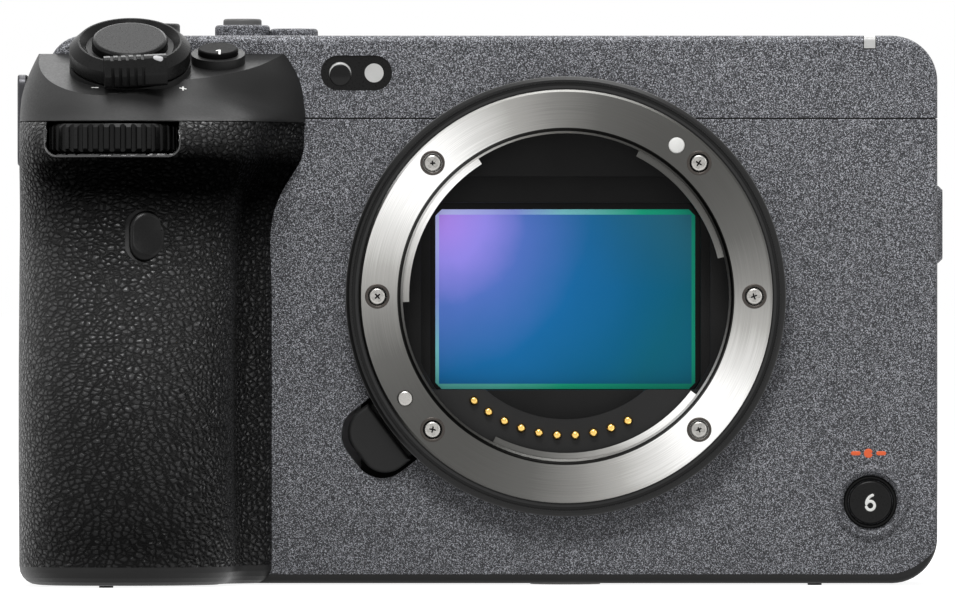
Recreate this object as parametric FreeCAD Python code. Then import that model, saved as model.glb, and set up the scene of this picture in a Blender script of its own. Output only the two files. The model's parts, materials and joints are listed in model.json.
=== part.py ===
import FreeCAD, Part
import math
import os

os.makedirs("parts", exist_ok=True)
V = FreeCAD.Vector

# A compact cinema camera, in millimetres. +X is right and -Y is forward as seen from the front, +Z is up.
# The origin is the tripod socket, in the base plane, under the optical axis and in the sensor plane.

# Body
body_width = 129.7
body_height = 77.8
body_right = 52.6
body_depth = 39.5
corner_radius = 6.5
edge_radius = 1.0
wall = 1.6
core_inset = 3.9
core_corner_radius = 5.0
top_parting = 66.0
side_seam = 6.0
rear_seam = 5.5
base_thickness = 1.6
foot_height = 0.3
foot_radius = 1.0
slip = 0.05
seam_gap = 0.15
seam_depth = 0.3
clearance = 0.3

# Lens mount
axis_height = 40.9
flange_distance = 18.0
mount_stand_out = 4.0
bezel_radius = 31.1
bezel_rim_drop = 0.5
bezel_groove_radius = 30.15
bezel_groove_width = 0.25
bezel_groove_depth = 0.5
ring_radius = 29.2
ring_thickness = 3.0
throat_diameter = 46.1
throat_chamfer = 0.6
tab_reach = 0.9
tab_thickness = 1.3
tab_spans = [(122.4, 182.0), (14.0, 63.3), (-116.5, -37.0)]
mount_screw_radius = 26.63
release_screw_angle = -135
mount_screw_angles = [0, 45, 135, 180, release_screw_angle, -45]
mount_screw_head = 2.6
mount_screw_head_round = 0.5
mount_screw_slot = 0.46
mount_screw_recess = 3.5
mount_screw_shank = 1.6
mount_screw_head_height = 1.0
index_radius = 26.5
index_angle = 53.7
index_dot_radius = 1.23
lock_pin_place = 26.9
lock_pin_angle = 212.4
lock_pin_radius = 1.06
lock_pin_stand_out = 0.8
release_angle = 217.5
release_reach = 37.9
release_width = 11.0
release_corner = 4.2
release_gap = 1.0
release_stand_out = 1.3

mount_screw_sink = 1.1
floor_radius = 23.5
baffle_radius = 25.0

# Lens contacts
contact_block_inner = 17.4
contact_count = 10
contact_circle = 19.67
contact_first_angle = -131.3
contact_step = 7.54
contact_radius = 0.615
contact_hole_radius = 0.665
contact_stand_out = 0.9
contact_travel = 0.6
contact_block_top = 13.2
contact_block_face = 14.4

# Throat, shutter, stabiliser and sensor
baffle_step = 11.1
baffle_rear = 7.2
baffle_opening_width = 41.0
baffle_opening_rise = 17.0
baffle_inner_radius = 22.6
shutter_front = 7.0
shutter_rear = 2.4
shutter_half_width = 29.0
shutter_bottom = 11.0
shutter_top = 63.0
gate_width = 38.4
gate_height = 26.6
blade_thickness = 0.25
blade_width = 42.0
blade_height = 13.7
blade_slot = 1.6
sensor_width = 37.1
sensor_height = 26.1
sensor_package_margin = 3.2
sensor_package_depth = 2.0
sensor_rim = 0.6
glass_thickness = 1.0
glass_chamfer = 1.2
carriage_half_width = 26.0
carriage_half_height = 20.0
carriage_front = 0.9
carriage_rear = 3.0
ball_radius = 1.1
ball_spread = 22.0
stabiliser_half_width = 33.0
stabiliser_half_height = 25.0
stabiliser_plate = 2.0

# Chassis, board and cooling
chassis_wall = 2.0
chassis_side_wall = 1.4
chassis_left = 45.0
chassis_floor_top = 3.2
board_front = 16.0
board_bottom = 6.0
board_top = 62.0
board_thickness = 1.2
fan_radius = 11.0
fan_hub_radius = 4.0
fan_blade_count = 11
fan_centre_x = -12.0
fan_centre_z = 42.0
fan_pin_radius = 1.0
fan_wall = 1.0
fin_count = 9
fin_thickness = 0.8
fin_pitch = 2.4

# Grip
grip_depth = 42.3
grip_bottom = 2.9
grip_floor_steps = 5
grip_join = 41.4
rubber_thickness = 0.9
grip_wall = 1.6
grip_rear_radius = 6.0
rubber_rear = 8.0
hood_join = 36.6
hood_seam = 65.4
deck_height = 75.2
brow_edge = 32.5
brow_height = 69.1
# Height, nose distance, right edge, flank and valley of the grip
grip_stations = [
    (grip_bottom, 39.5, grip_join, 47.2, 18.0),
    (14.0, 41.8, grip_join, 47.0, 17.6),
    (28.0, grip_depth, grip_join, 47.0, 17.5),
    (41.0, 39.6, grip_join, 47.0, 17.6),
    (51.5, 36.0, grip_join, 47.2, 18.2),
    (56.5, 37.0, 39.4, 46.4, 20.0),
    (61.0, 39.5, 37.0, 45.4, 22.0),
    (hood_seam, 37.0, hood_join, 45.0, 22.0),
]
grip_level_count = 16
# The same sizes for the hood, and how far it is drawn in at each height
deck_stations = [
    (hood_seam, 37.0, hood_join, 45.0, 22.0, 0),
    (brow_height, brow_edge + 0.2, 36.7, 48.8, 20.8, 0.2),
    (72.5, 29.2, 36.6, 51.0, 22.4, 1.2),
    (body_height + 1.0, 24.2, 37.3, 52.0, 22.0, 4.2),
]
deck_level_count = 8

# Zoom lever, shutter button and deck button
lever_x = -61.45
lever_y = -22.4
lever_z = 73.9
lever_tilt = 26.5
lever_radius = 8.55
lever_height = 3.4
lever_bevel = 1.2
lever_dish_depth = 0.95
lever_rim = 0.25
lever_lift = 0.15
lever_sleeve = 6.2
lever_collar = 8.55
paddle_width = 8.8
paddle_reach = 1.8
paddle_turn = 6.0
paddle_groove_count = 5
paddle_first_groove = -3.5
paddle_groove_pitch = 1.08
paddle_groove_width = 0.45
shutter_button_radius = 5.34
shutter_button_stand_out = 0.4
shutter_button_height = 2.6
shutter_travel = 1.2
deck_button_x = -49.1
deck_button_y = -17.8
deck_button_tilt = 18.5
deck_button_lift = 1.3
deck_bezel_radius = 3.8
deck_button_radius = 2.83
deck_button_stand_out = 0.85
deck_button_depth = 1.0
deck_button_travel = 0.6

# Front dial
dial_x = -63.65
dial_radius = 9.0
dial_front = 39.4
dial_bottom = 61.1
dial_top = 65.1
dial_slot_bottom = 60.7
dial_slot_half_width = 9.35
dial_slot_corner = 1.6
dial_rib_count = 36
dial_rib_radius = 0.45
dial_pin_radius = 1.5

# Top of the body
shoe_width = 18.7
shoe_length = 18.5
shoe_throat = 12.6
shoe_slot_height = 2.1
shoe_lip = 1.4
shoe_frame = 2.4
thread_radius = 3.175
thread_depth = 5.5
thread_collar = 1.8
top_thread_places = [(-27.0, 2.0), (27.0, 2.0), (0.0, -5.0)]
side_thread_y = -1.5
side_thread_z = 51.1
side_boss_half_width = 5.5
side_boss_half_height = 5.5
side_boss_stand_out = 0.9
side_boss_corner = 1.6
first_platform_x = -45.85
first_platform_radius = 3.9
first_platform_top = 79.4
second_platform_x = -38.55
second_platform_radius = 3.42
second_platform_top = 78.9
platform_y = -4.0
top_record_radius = 2.725
top_record_stand_out = 0.9
top_record_travel = 0.8
power_x = -60.5
power_y = 7.0
power_radius = 5.6
power_height = 1.9
power_lever_reach = 8.6
power_lever_width = 3.4
power_pin_radius = 1.6

# Lamp window, lamps and tally light
lamp_x = -29.6
lamp_z = 72.5
lamp_width = 10.1
lamp_height = 4.95
lamp_window_thickness = 1.0
lamp_lens_x = -31.9
lamp_lens_radius = 1.6
sensor_disc_x = -27.1
sensor_disc_radius = 1.34
tally_x = 43.0
tally_width = 1.6
tally_height = 1.8
remote_x = -59.4
remote_z = 49.4
remote_width = 5.1
remote_height = 7.4

# Front record button
record_x = 43.1
record_z = 11.8
record_ring_radius = 5.3
record_ring_height = 0.7
record_recess_radius = 4.0
record_button_radius = 3.07
record_button_stand_out = 0.6
record_recess_depth = 0.6

# Grip fittings and battery
battery_top = 54.9
door_play = 0.2
door_knuckle_length = 20.0
door_hinge_y = -6.0
latch_width = 4.0
latch_length = 6.0
latch_depth = 0.8
latch_travel = 3.0
latch_y = -8.0
case_screw_head = 0.8
card_unit_wall = 0.6
lug_plate_thickness = 1.1
lug_plate_bottom = 59.4
lug_plate_top = 72.3
lug_plate_front = -12.0
lug_plate_rear = 4.0
lug_recess_radius = 3.6
battery_width = 22.7
battery_length = 38.7
battery_height = 51.7
battery_right = -51.1
battery_rear = 13.6
battery_corner = 3.0
battery_play = 0.25
battery_box_wall = 0.55
door_thickness = 1.6
door_pin_radius = 0.7
door_knuckle_radius = 1.15
card_slot_thickness = 3.4
card_slot_height = 25.0
card_slot_depth = 29.0
card_unit_z = 23.5
card_door_thickness = 1.2
card_door_bottom = 9.0
card_door_top = 38.0
card_door_front = 14.6
card_door_wrap = 6.0

# Rear face
monitor_left = -28.0
monitor_right = 45.6
monitor_bottom = 7.5
monitor_top = 62.0
monitor_depth = 9.1
monitor_stand_off = 0.4
monitor_corner = 2.5
monitor_bezel = 1.4
screen_width = 66.0
screen_height = 44.0
hinge_x = 49.5
hinge_y = 29.6
hinge_radius = 2.9
hinge_pin_radius = 1.2
hinge_pin_length = 3.0
hinge_bottom = 12.0
hinge_top = 58.0
knuckle_height = 7.0
arm_thickness = 3.4
arm_pin_radius = 1.4
arm_pin_length = 6.0
thumb_rest_depth = 16.7
thumb_rest_left = -76.2
thumb_rest_right = -63.5
thumb_rest_bottom = 40.0
control_x = -47.5
wheel_z = 31.5
wheel_radius = 11.0
wheel_inner = 5.2
wheel_stand_out = 1.8
wheel_rib_count = 40
wheel_boss = 1.2
wheel_button_stand_out = 1.3
wheel_button_radius = 4.6
wheel_button_travel = 0.6
joystick_z = 55.5
joystick_radius = 4.6
joystick_height = 3.4
joystick_gap = 1.0
joystick_socket_radius = 5.2
joystick_stem_radius = 1.1
yoke_radius = 4.3
yoke_inner = 2.9
yoke_thickness = 1.1
yoke_room = 1.5
trunnion_radius = 0.45
small_button_radius = 2.9
small_button_stand_out = 0.8
menu_x = -35.5
menu_z = 60.0
play_x = -36.5
play_z = 14.0
fn_x = -57.0
fn_z = 46.0
rear_dial_x = -58.0
rear_dial_radius = 9.0
rear_dial_bottom = 69.2
rear_dial_top = 73.6
rear_dial_stand_out = 2.6

# Right side
jack_left = 43.0
jack_pin_radius = 0.45
round_jack_heights = [58.0, 46.5]
round_jack_radius = 1.75
wide_jack_z = 29.0
wide_jack_height = 14.0
wide_jack_width = 5.0
small_jack_z = 15.0
small_jack_height = 8.6
small_jack_width = 4.4
jack_front = 5.0
jack_rear = 18.6
jack_cover_thickness = 1.0
upper_jack_bottom = 40.5
upper_jack_top = 63.0
lower_jack_bottom = 10.0
lower_jack_top = 38.0
jack_gap = 0.2
vent_count = 8
vent_pitch = 3.2
vent_height = 1.5
vent_bottom = 12.0
vent_front = -5.5
vent_rear = 3.0
case_screw_radius = 1.3


# Outlines and simple solids

def rounded_wire(corners, radii, place):
    """A closed wire through corners, each rounded by its radius; place turns (u, v) into a point."""
    count = len(corners)
    if not isinstance(radii, (list, tuple)):
        radii = [radii] * count
    stations = []
    for i in range(count):
        corner = V(*corners[i], 0)
        before = V(*corners[i - 1], 0) - corner
        after = V(*corners[(i + 1) % count], 0) - corner
        before.normalize()
        after.normalize()
        if radii[i] <= 0:
            stations.append((corner, corner, corner))
            continue
        half = before.getAngle(after) / 2
        reach = radii[i] / math.tan(half)
        middle = before + after
        middle.normalize()
        centre = corner + middle * (radii[i] / math.sin(half))
        stations.append((corner + before * reach, centre - middle * radii[i], corner + after * reach))
    edges = []
    for i in range(count):
        start, middle, end = [place(p.x, p.y) for p in stations[i]]
        following = place(stations[(i + 1) % count][0].x, stations[(i + 1) % count][0].y)
        if radii[i] > 0:
            edges.append(Part.Arc(start, middle, end).toShape())
        if (following - end).Length > 1e-6:
            edges.append(Part.LineSegment(end, following).toShape())
    return Part.Wire(edges)


def prism_xz(corners, radii, y_low, y_high):
    wire = rounded_wire(corners, radii, lambda u, v: V(u, y_low, v))
    return Part.Face(wire).extrude(V(0, y_high - y_low, 0))


def prism_xy(corners, radii, z_low, z_high):
    wire = rounded_wire(corners, radii, lambda u, v: V(u, v, z_low))
    return Part.Face(wire).extrude(V(0, 0, z_high - z_low))


def prism_yz(corners, radii, x_low, x_high):
    wire = rounded_wire(corners, radii, lambda u, v: V(x_low, u, v))
    return Part.Face(wire).extrude(V(x_high - x_low, 0, 0))


def corners_of(u_low, u_high, v_low, v_high):
    return [(u_low, v_low), (u_high, v_low), (u_high, v_high), (u_low, v_high)]


def block(x_low, x_high, y_low, y_high, z_low, z_high):
    return Part.makeBox(x_high - x_low, y_high - y_low, z_high - z_low, V(x_low, y_low, z_low))


def rod(radius, start, end):
    start, end = V(*start), V(*end)
    return Part.makeCylinder(radius, (end - start).Length, start, end - start)


def tube(outer, inner, start, end):
    return rod(outer, start, end).cut(rod(inner, start, end))


def round_edges(shape, radius, chosen):
    edges = [edge for edge in shape.Edges if chosen(edge)]
    return shape.makeFillet(radius, edges) if edges else shape


def bevel_edges(shape, size, chosen):
    edges = [edge for edge in shape.Edges if chosen(edge)]
    return shape.makeChamfer(size, edges) if edges else shape


def on_plane(axis, value):
    """Chooses the edges that lie in the plane where the named coordinate has the value."""
    low, high = axis + "Min", axis + "Max"
    near = 1e-4

    def chosen(edge):
        box = edge.BoundBox
        return abs(getattr(box, low) - value) < near and abs(getattr(box, high) - value) < near
    return chosen


def axis_point(radius, angle, y):
    """A point at a radius and an angle about the optical axis, as seen from the front."""
    turn = math.radians(angle)
    return (radius * math.cos(turn), y, axis_height + radius * math.sin(turn))


def about_axis(shape, angle):
    """Turns a shape about the optical axis, anticlockwise as seen from the front."""
    turned = shape.copy()
    turned.rotate(V(0, 0, axis_height), V(0, -1, 0), angle)
    return turned


def ring_sector(outer, inner, first_angle, last_angle, y_low, y_high):
    """A part of a ring about the optical axis between two angles."""
    points = [axis_point(inner, first_angle, y_low), axis_point(outer, first_angle, y_low)]
    middle = (first_angle + last_angle) / 2
    points += [axis_point(outer, middle, y_low), axis_point(outer, last_angle, y_low)]
    points += [axis_point(inner, last_angle, y_low), axis_point(inner, middle, y_low)]
    points = [V(*p) for p in points]
    edges = [Part.LineSegment(points[0], points[1]).toShape()]
    edges.append(Part.Arc(points[1], points[2], points[3]).toShape())
    edges.append(Part.LineSegment(points[3], points[4]).toShape())
    edges.append(Part.Arc(points[4], points[5], points[0]).toShape())
    return Part.Face(Part.Wire(edges)).extrude(V(0, y_high - y_low, 0))


def tilted_frame(x, y, z, tilt):
    """A placement whose Z axis leans forward by the tilt."""
    return FreeCAD.Placement(V(x, y, z), FreeCAD.Rotation(V(1, 0, 0), tilt))


def placed(shape, placement):
    moved = shape.copy()
    moved.Placement = placement.multiply(shape.Placement)
    return moved


def save(name, *solids):
    """Writes one piece, or a group of like pieces, to its own file."""
    shapes = []
    for solid in solids:
        shapes += solid.Solids
    whole = shapes[0] if len(shapes) == 1 else Part.makeCompound(shapes)
    for solid in shapes:
        if not solid.isValid():
            print("not valid:", name)
    whole.exportStep("parts/" + name + ".step")
    print(name, len(shapes), round(sum(s.Volume for s in shapes), 2))


# Planes worked out from the driving sizes

body_left = body_right - body_width
core_left = body_left + core_inset
mount_face = -flange_distance
front_face = mount_face + mount_stand_out
rear_face = front_face + body_depth
seat_face = mount_face + ring_thickness
front_inner = front_face + wall
rear_inner = rear_face - wall
side_split = front_face + side_seam
rear_split = rear_face - rear_seam
chassis_rear = front_inner + chassis_wall
chassis_floor_bottom = base_thickness
grip_hidden_right = -hood_join + wall
deck_slope = (deck_height - brow_height) / (brow_edge + front_face)
far = 200.0


# Body shells

def body_form(inset):
    """The main box of the body, drawn in by inset on every side."""
    floor = min(foot_height + inset, base_thickness)
    outline = corners_of(core_left + inset, body_right - inset, floor, body_height - inset)
    radii = [core_corner_radius, corner_radius, corner_radius, core_corner_radius]
    radii = [radius - inset for radius in radii]
    return prism_xz(outline, radii, front_face + inset, rear_face - inset)


def rounded_body():
    form = body_form(0)
    form = round_edges(form, edge_radius, on_plane("Y", front_face))
    return round_edges(form, edge_radius, on_plane("Y", rear_face))


def station_slope(stations, i, column):
    """How fast a size changes with height at one of the stations."""
    before = stations[max(i - 1, 0)]
    after = stations[min(i + 1, len(stations) - 1)]
    return (after[column] - before[column]) / (after[0] - before[0])


def level_at(stations, height):
    """The sizes at any height, smooth between the stations."""
    i = max(k for k in range(len(stations) - 1) if stations[k][0] <= height)
    low, high = stations[i], stations[i + 1]
    gap = high[0] - low[0]
    t = (height - low[0]) / gap
    level = [height]
    for column in range(1, len(low)):
        start = station_slope(stations, i, column) * gap
        end = station_slope(stations, i + 1, column) * gap
        value = low[column] * (2 * t ** 3 - 3 * t ** 2 + 1) + start * (t ** 3 - 2 * t ** 2 + t)
        level.append(value + high[column] * (3 * t ** 2 - 2 * t ** 3) + end * (t ** 3 - t ** 2))
    return tuple(level)


def smooth_levels(stations, count):
    """Equally spaced levels from the lowest station to the highest."""
    lowest = stations[0][0]
    step = (stations[-1][0] - lowest) / (count - 1)
    return [level_at(stations, lowest + step * i) for i in range(count)]


def grip_outline(level, inset):
    """One level of the grip, drawn in by inset, as points from the front plate round to the left side."""
    height, nose, join, flank, valley = level
    outside = [
        (-join, front_face + edge_radius),
        (-join - 1.3, front_face - 1.8),
        (-(join + flank) / 2 - 0.8, -valley),
        (-flank, -(valley + nose) / 2 + 0.5),
        (-flank - 5.6, -nose + 3.4),
        (body_left + 12.8, -nose),
        (body_left + 4.4, -nose + 3.3),
        (body_left + 0.6, -nose + 11.0),
        (body_left, -nose + 20.0),
    ]
    points = []
    last = len(outside) - 1
    for i in range(len(outside)):
        before = outside[max(i - 1, 0)]
        after = outside[min(i + 1, last)]
        along = V(after[0] - before[0], after[1] - before[1], 0)
        if i == 0:
            along = V(0, -1, 0)
        if i == last:
            along = V(0, 1, 0)
        along.normalize()
        inward = V(along.y, -along.x, 0)
        points.append(V(outside[i][0] + inward.x * inset, outside[i][1] + inward.y * inset, height))
    return points


def grip_section(level, inset):
    """A closed section of the grip; the sides hidden in the body stay where they are."""
    points = grip_outline(level, inset)
    height = level[0]
    curve = Part.BSplineCurve()
    along = [0.0]
    for i in range(1, len(points)):
        along.append(along[-1] + (points[i] - points[i - 1]).Length)
    curve.interpolate(Points=points, Parameters=along, InitialTangent=V(0, -1, 0),
                      FinalTangent=V(0, 1, 0), Scale=False)
    left = body_left + inset
    rear = rear_face - inset
    radius = grip_rear_radius - inset
    side_end = V(left, rear - radius, height)
    corner_middle = V(left + radius * (1 - math.sqrt(0.5)), rear - radius * (1 - math.sqrt(0.5)), height)
    corner_end = V(left + radius, rear, height)
    rear_right = V(grip_hidden_right, rear, height)
    front_right = V(grip_hidden_right, points[0].y + edge_radius, height)
    edges = [
        curve.toShape(),
        Part.LineSegment(points[-1], side_end).toShape(),
        Part.Arc(side_end, corner_middle, corner_end).toShape(),
        Part.LineSegment(corner_end, rear_right).toShape(),
        Part.LineSegment(rear_right, front_right).toShape(),
        Part.LineSegment(front_right, points[0]).toShape(),
    ]
    return Part.Wire(edges)


def grip_form(inset):
    wires = [grip_section(level, inset) for level in smooth_levels(grip_stations, grip_level_count)]
    return Part.makeLoft(wires, True, False)


def deck_form(inset):
    """The hood above the grip up to the sloping deck, drawn in by inset."""
    wires = []
    for level in smooth_levels(deck_stations, deck_level_count):
        wires.append(grip_section(level[:5], inset + level[5]))
    form = Part.makeLoft(wires, True, False)
    top = deck_height - inset
    reach = 2 * brow_edge
    slope = [(-reach, 0), (far, 0), (far, top), (front_face, top)]
    slope.append((-reach, top - deck_slope * (reach + front_face)))
    return form.common(prism_yz(slope, 0, -far, far))


def seam_groove(shape, outer_band, inner_form):
    """Takes the skin outside the inner form off the shape within a narrow band."""
    return shape.cut(outer_band.cut(inner_form))


def base_region():
    """The space of the base plate: flat below the body, with its seam curving up at the right corner."""
    seam_start = V(body_right - corner_radius + 0.2, 0, base_thickness)
    seam_middle = V(body_right - 2.0, 0, base_thickness + 1.9)
    seam_end = V(body_right + 1.0, 0, corner_radius + 0.8)
    corners = [V(-far, 0, -far), V(far, 0, -far), V(far, 0, seam_end.z)]
    lines = [Part.LineSegment(corners[0], corners[1]), Part.LineSegment(corners[1], corners[2])]
    lines += [Part.LineSegment(corners[2], seam_end), Part.Arc(seam_end, seam_middle, seam_start)]
    left_end = V(-far, 0, base_thickness)
    lines += [Part.LineSegment(seam_start, left_end), Part.LineSegment(left_end, corners[0])]
    face = Part.Face(Part.Wire([line.toShape() for line in lines]))
    face.translate(V(0, -far, 0))
    return face.extrude(V(0, 2 * far, 0))


def release_form(inner, reach, width, corner, y_low, y_high):
    """The tongue-shaped space beside the mount, at the angle of the release button."""
    outline = [(inner, axis_height - width / 2), (reach, axis_height - width / 2)]
    outline += [(reach, axis_height + width / 2), (inner, axis_height + width / 2)]
    form = prism_xz(outline, [0, corner, corner, 0], y_low, y_high)
    return about_axis(form, release_angle)


def release_room(inner):
    return release_form(inner, release_reach, release_width, release_corner, -far, 0)


def bezel_room():
    return rod(bezel_radius + slip, (0, -far, axis_height), (0, 0, axis_height))


def grip_join_side():
    return -grip_join - rubber_thickness - grip_wall


def front_cover():
    cover = rounded_body().cut(body_form(wall))
    cover = cover.common(block(grip_join_side(), far, -far, side_split, 0, top_parting))
    cover = cover.cut(base_region()).cut(grip_floor())
    cover = cover.cut(bezel_room())
    cover = cover.cut(release_room(bezel_radius - edge_radius))
    ring = tube(record_ring_radius, record_recess_radius,
                (record_x, front_face - record_ring_height, record_z), (record_x, front_face, record_z))
    ring = bevel_edges(ring, record_ring_height * 0.6, on_plane("Y", front_face - record_ring_height))
    cover = cover.fuse(ring)
    cup = rod(record_recess_radius, (record_x, -far, record_z),
              (record_x, front_face + record_recess_depth, record_z))
    cover = cover.cut(cup)
    return cover.cut(rod(record_button_radius + slip, (record_x, -far, record_z), (record_x, 0, record_z)))


def top_cover():
    cover = rounded_body().cut(body_form(wall))
    cover = cover.common(block(-far, far, -far, far, top_parting, far)).cut(bezel_room())
    for x, radius, top in ((first_platform_x, first_platform_radius, first_platform_top),
                           (second_platform_x, second_platform_radius, second_platform_top)):
        boss = rod(radius, (x, platform_y, body_height - wall), (x, platform_y, top))
        boss = round_edges(boss, 0.5, on_plane("Z", top))
        cover = cover.fuse(boss)
    well = rod(top_record_radius + slip,
               (first_platform_x, platform_y, first_platform_top - top_record_well()),
               (first_platform_x, platform_y, far))
    cover = cover.cut(well)
    cover = cover.cut(shoe_block())
    for x, y in top_thread_places:
        cover = cover.cut(rod(thread_radius + thread_collar, (x, y, top_parting), (x, y, far)))
    cover = cover.cut(lamp_pocket())
    cover = cover.cut(tally_form(clearance / 3))
    cover = cover.cut(rod(power_pin_radius, (power_x, power_y, top_parting), (power_x, power_y, far)))
    band = block(-far, far, -far, far, top_parting, top_parting + seam_gap)
    cover = seam_groove(cover, band, body_form(seam_depth))
    rear_slot = block(rear_dial_x - rear_dial_half_chord(), rear_dial_x + rear_dial_half_chord(),
                      rear_split, far, rear_dial_bottom - clearance, rear_dial_top + clearance)
    return cover.cut(rear_slot)


def shoe_block():
    """The room of the accessory shoe, open at the rear face of the body."""
    half = shoe_width / 2 + shoe_frame
    height = shoe_lip + shoe_slot_height + shoe_frame / 2
    front = rear_face - shoe_length - shoe_frame
    form = block(-half, half, front, rear_face, body_height - height, body_height)
    return form.common(rounded_body())


def top_record_well():
    return top_record_travel + 1.4


def rear_dial_half_chord():
    inside = rear_inner - rear_dial_y()
    return math.sqrt(rear_dial_radius ** 2 - inside ** 2) + 2 * clearance


def rear_dial_y():
    return rear_face + rear_dial_stand_out - rear_dial_radius


def lamp_pocket():
    outline = corners_of(lamp_x - lamp_width / 2, lamp_x + lamp_width / 2,
                         lamp_z - lamp_height / 2, lamp_z + lamp_height / 2)
    return prism_xz(outline, lamp_height / 2 - 0.01, -far, 0)


def lamp_window():
    outline = corners_of(lamp_x - lamp_width / 2, lamp_x + lamp_width / 2,
                         lamp_z - lamp_height / 2, lamp_z + lamp_height / 2)
    front = front_face + 0.2
    window = prism_xz(outline, lamp_height / 2 - 0.01, front, front + lamp_window_thickness)
    for x, radius in ((lamp_lens_x, lamp_lens_radius), (sensor_disc_x, sensor_disc_radius)):
        window = window.cut(rod(radius, (x, -far, lamp_z), (x, 0, lamp_z)))
    flange_outline = corners_of(lamp_x - lamp_width / 2 - 1, lamp_x + lamp_width / 2 + 1,
                                lamp_z - lamp_height / 2 - 1, lamp_z + lamp_height / 2 + 1)
    flange = prism_xz(flange_outline, 1.0, front_inner, front_inner + 0.8)
    for x, radius in ((lamp_lens_x, lamp_lens_radius), (sensor_disc_x, sensor_disc_radius)):
        flange = flange.cut(rod(radius, (x, -far, lamp_z), (x, 0, lamp_z)))
    neck = prism_xz(outline, lamp_height / 2 - 0.01, front + lamp_window_thickness, front_inner)
    neck = neck.cut(rod(lamp_lens_radius, (lamp_lens_x, -far, lamp_z), (lamp_lens_x, 0, lamp_z)))
    neck = neck.cut(rod(sensor_disc_radius, (sensor_disc_x, -far, lamp_z), (sensor_disc_x, 0, lamp_z)))
    return window.fuse([neck, flange]).removeSplitter()


def tally_form(grow):
    """The small light guide that wraps the front top edge of the body."""
    form = block(tally_x - tally_width / 2 - grow, tally_x + tally_width / 2 + grow,
                 front_face, front_inner + 1.0, body_height - tally_height - grow, body_height)
    return form


def lamp_lenses():
    front = front_face + 0.1
    lamp = rod(lamp_lens_radius, (lamp_lens_x, front, lamp_z), (lamp_lens_x, front_inner + 2.0, lamp_z))
    lamp = round_edges(lamp, 0.4, on_plane("Y", front))
    disc = rod(sensor_disc_radius, (sensor_disc_x, front, lamp_z),
               (sensor_disc_x, front_inner + 1.0, lamp_z))
    tally = tally_form(0)
    tally = round_edges(tally, edge_radius * 0.8, lambda e: on_plane("Y", front_face)(e)
                        and on_plane("Z", body_height)(e))
    return lamp, disc, tally


def grip_skin(outer_inset, inner_inset):
    skin = grip_form(outer_inset).cut(grip_form(inner_inset))
    skin = skin.cut(body_form(0))
    slot = prism_xz(corners_of(dial_x - dial_slot_half_width, dial_x + dial_slot_half_width,
                               dial_slot_bottom, hood_seam + 2), dial_slot_corner,
                    -far, -dial_front + dial_radius)
    return skin.cut(slot)


def remote_window_form(depth):
    outline = corners_of(remote_x - remote_width / 2, remote_x + remote_width / 2,
                         remote_z - remote_height / 2, remote_z + remote_height / 2)
    return prism_xz(outline, remote_width / 2 - 0.01, -far, -depth)


def grip_rubber():
    rubber = grip_skin(0, rubber_thickness)
    rubber = rubber.cut(block(-far, far, rubber_rear, far, -far, far))
    rubber = rubber.cut(remote_window_form(grip_depth / 2)).cut(dial_well())
    return rubber.cut(lug_plate_form(slip))


def dial_well():
    """The room that the front dial needs inside the grip."""
    return rod(dial_radius + clearance, (dial_x, dial_y(), dial_bottom - clearance),
               (dial_x, dial_y(), hood_seam + 1))


def dial_y():
    return -dial_front + dial_radius


def grip_shell():
    shell = grip_skin(rubber_thickness, rubber_thickness + grip_wall)
    shell = shell.cut(dial_well())
    rear_skin = grip_skin(0, rubber_thickness)
    rear_skin = rear_skin.common(block(-far, far, rubber_rear, rear_split, -far, far))
    shell = shell.cut(block(-far, far, rear_split, far, -far, far))
    shell = shell.fuse(rear_skin).removeSplitter()
    shell = shell.cut(card_door_form(clearance / 2))
    shell = shell.cut(battery_space(battery_play + battery_box_wall, grip_bottom,
                                    battery_top + battery_box_wall))
    return shell.cut(lug_plate_form(slip))


def card_door_form(grow):
    """The card door, set into the left side of the grip."""
    skin = grip_form(0).cut(grip_form(card_door_thickness + grow))
    return skin.common(block(-far, body_left + card_door_wrap + grow, card_door_front - grow, far,
                             card_door_bottom - grow, card_door_top + grow))


def lug_plate_form(grow):
    outline = corners_of(lug_plate_front - grow, lug_plate_rear + grow,
                         lug_plate_bottom - grow, lug_plate_top + grow)
    return prism_yz(outline, 1.5, body_left - 0.5, body_left + lug_plate_thickness - 0.5)


# Base and battery

def base_plate():
    base = rounded_body().common(base_region())
    base = base.fuse(grip_floor()).removeSplitter()
    for x, y in foot_places():
        base = base.fuse(rod(foot_radius, (x, y, 0), (x, y, foot_height + 0.5)))
    base = base.cut(rod(tripod_collar_radius(), (0, 0, -1), (0, 0, 5)))
    base = base.cut(door_plate(door_play, far))
    base = base.cut(hinge_pocket())
    base = base.cut(door_pin(slip))
    for x, y in base_screw_places():
        base = base.cut(rod(case_screw_radius + slip, (x, y, 0), (x, y, foot_height + case_screw_head)))
        base = base.cut(rod(case_screw_radius / 2, (x, y, 0), (x, y, grip_bottom)))
    return base


def grip_floor():
    """The part of the base under the grip, rounded along its lower edge in short steps."""
    lowest = grip_stations[0]
    radius = grip_bottom - foot_height
    floor = None
    for i in range(grip_floor_steps + 1):
        turn = math.radians(90.0 * i / grip_floor_steps)
        height = foot_height + radius * (1 - math.cos(turn))
        section = grip_section((height,) + lowest[1:], radius * (1 - math.sin(turn)))
        if i > 0:
            step = Part.makeLoft([below, section], True, True)
            floor = floor.fuse(step) if floor else step
        below = section
    return floor


def foot_places():
    left = body_left + 12.5
    right = body_right - 17.3
    rear = rear_face - 5.5
    return [(left, -33.0), (left, rear), (right, front_face + 5.0), (right, rear)]


def base_screw_places():
    inner = body_right - 8.0
    return [(inner, front_face + 5.5), (inner, rear_face - 7.0), (-36.0, rear_face - 7.0), (-31.0, -7.5)]


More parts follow.
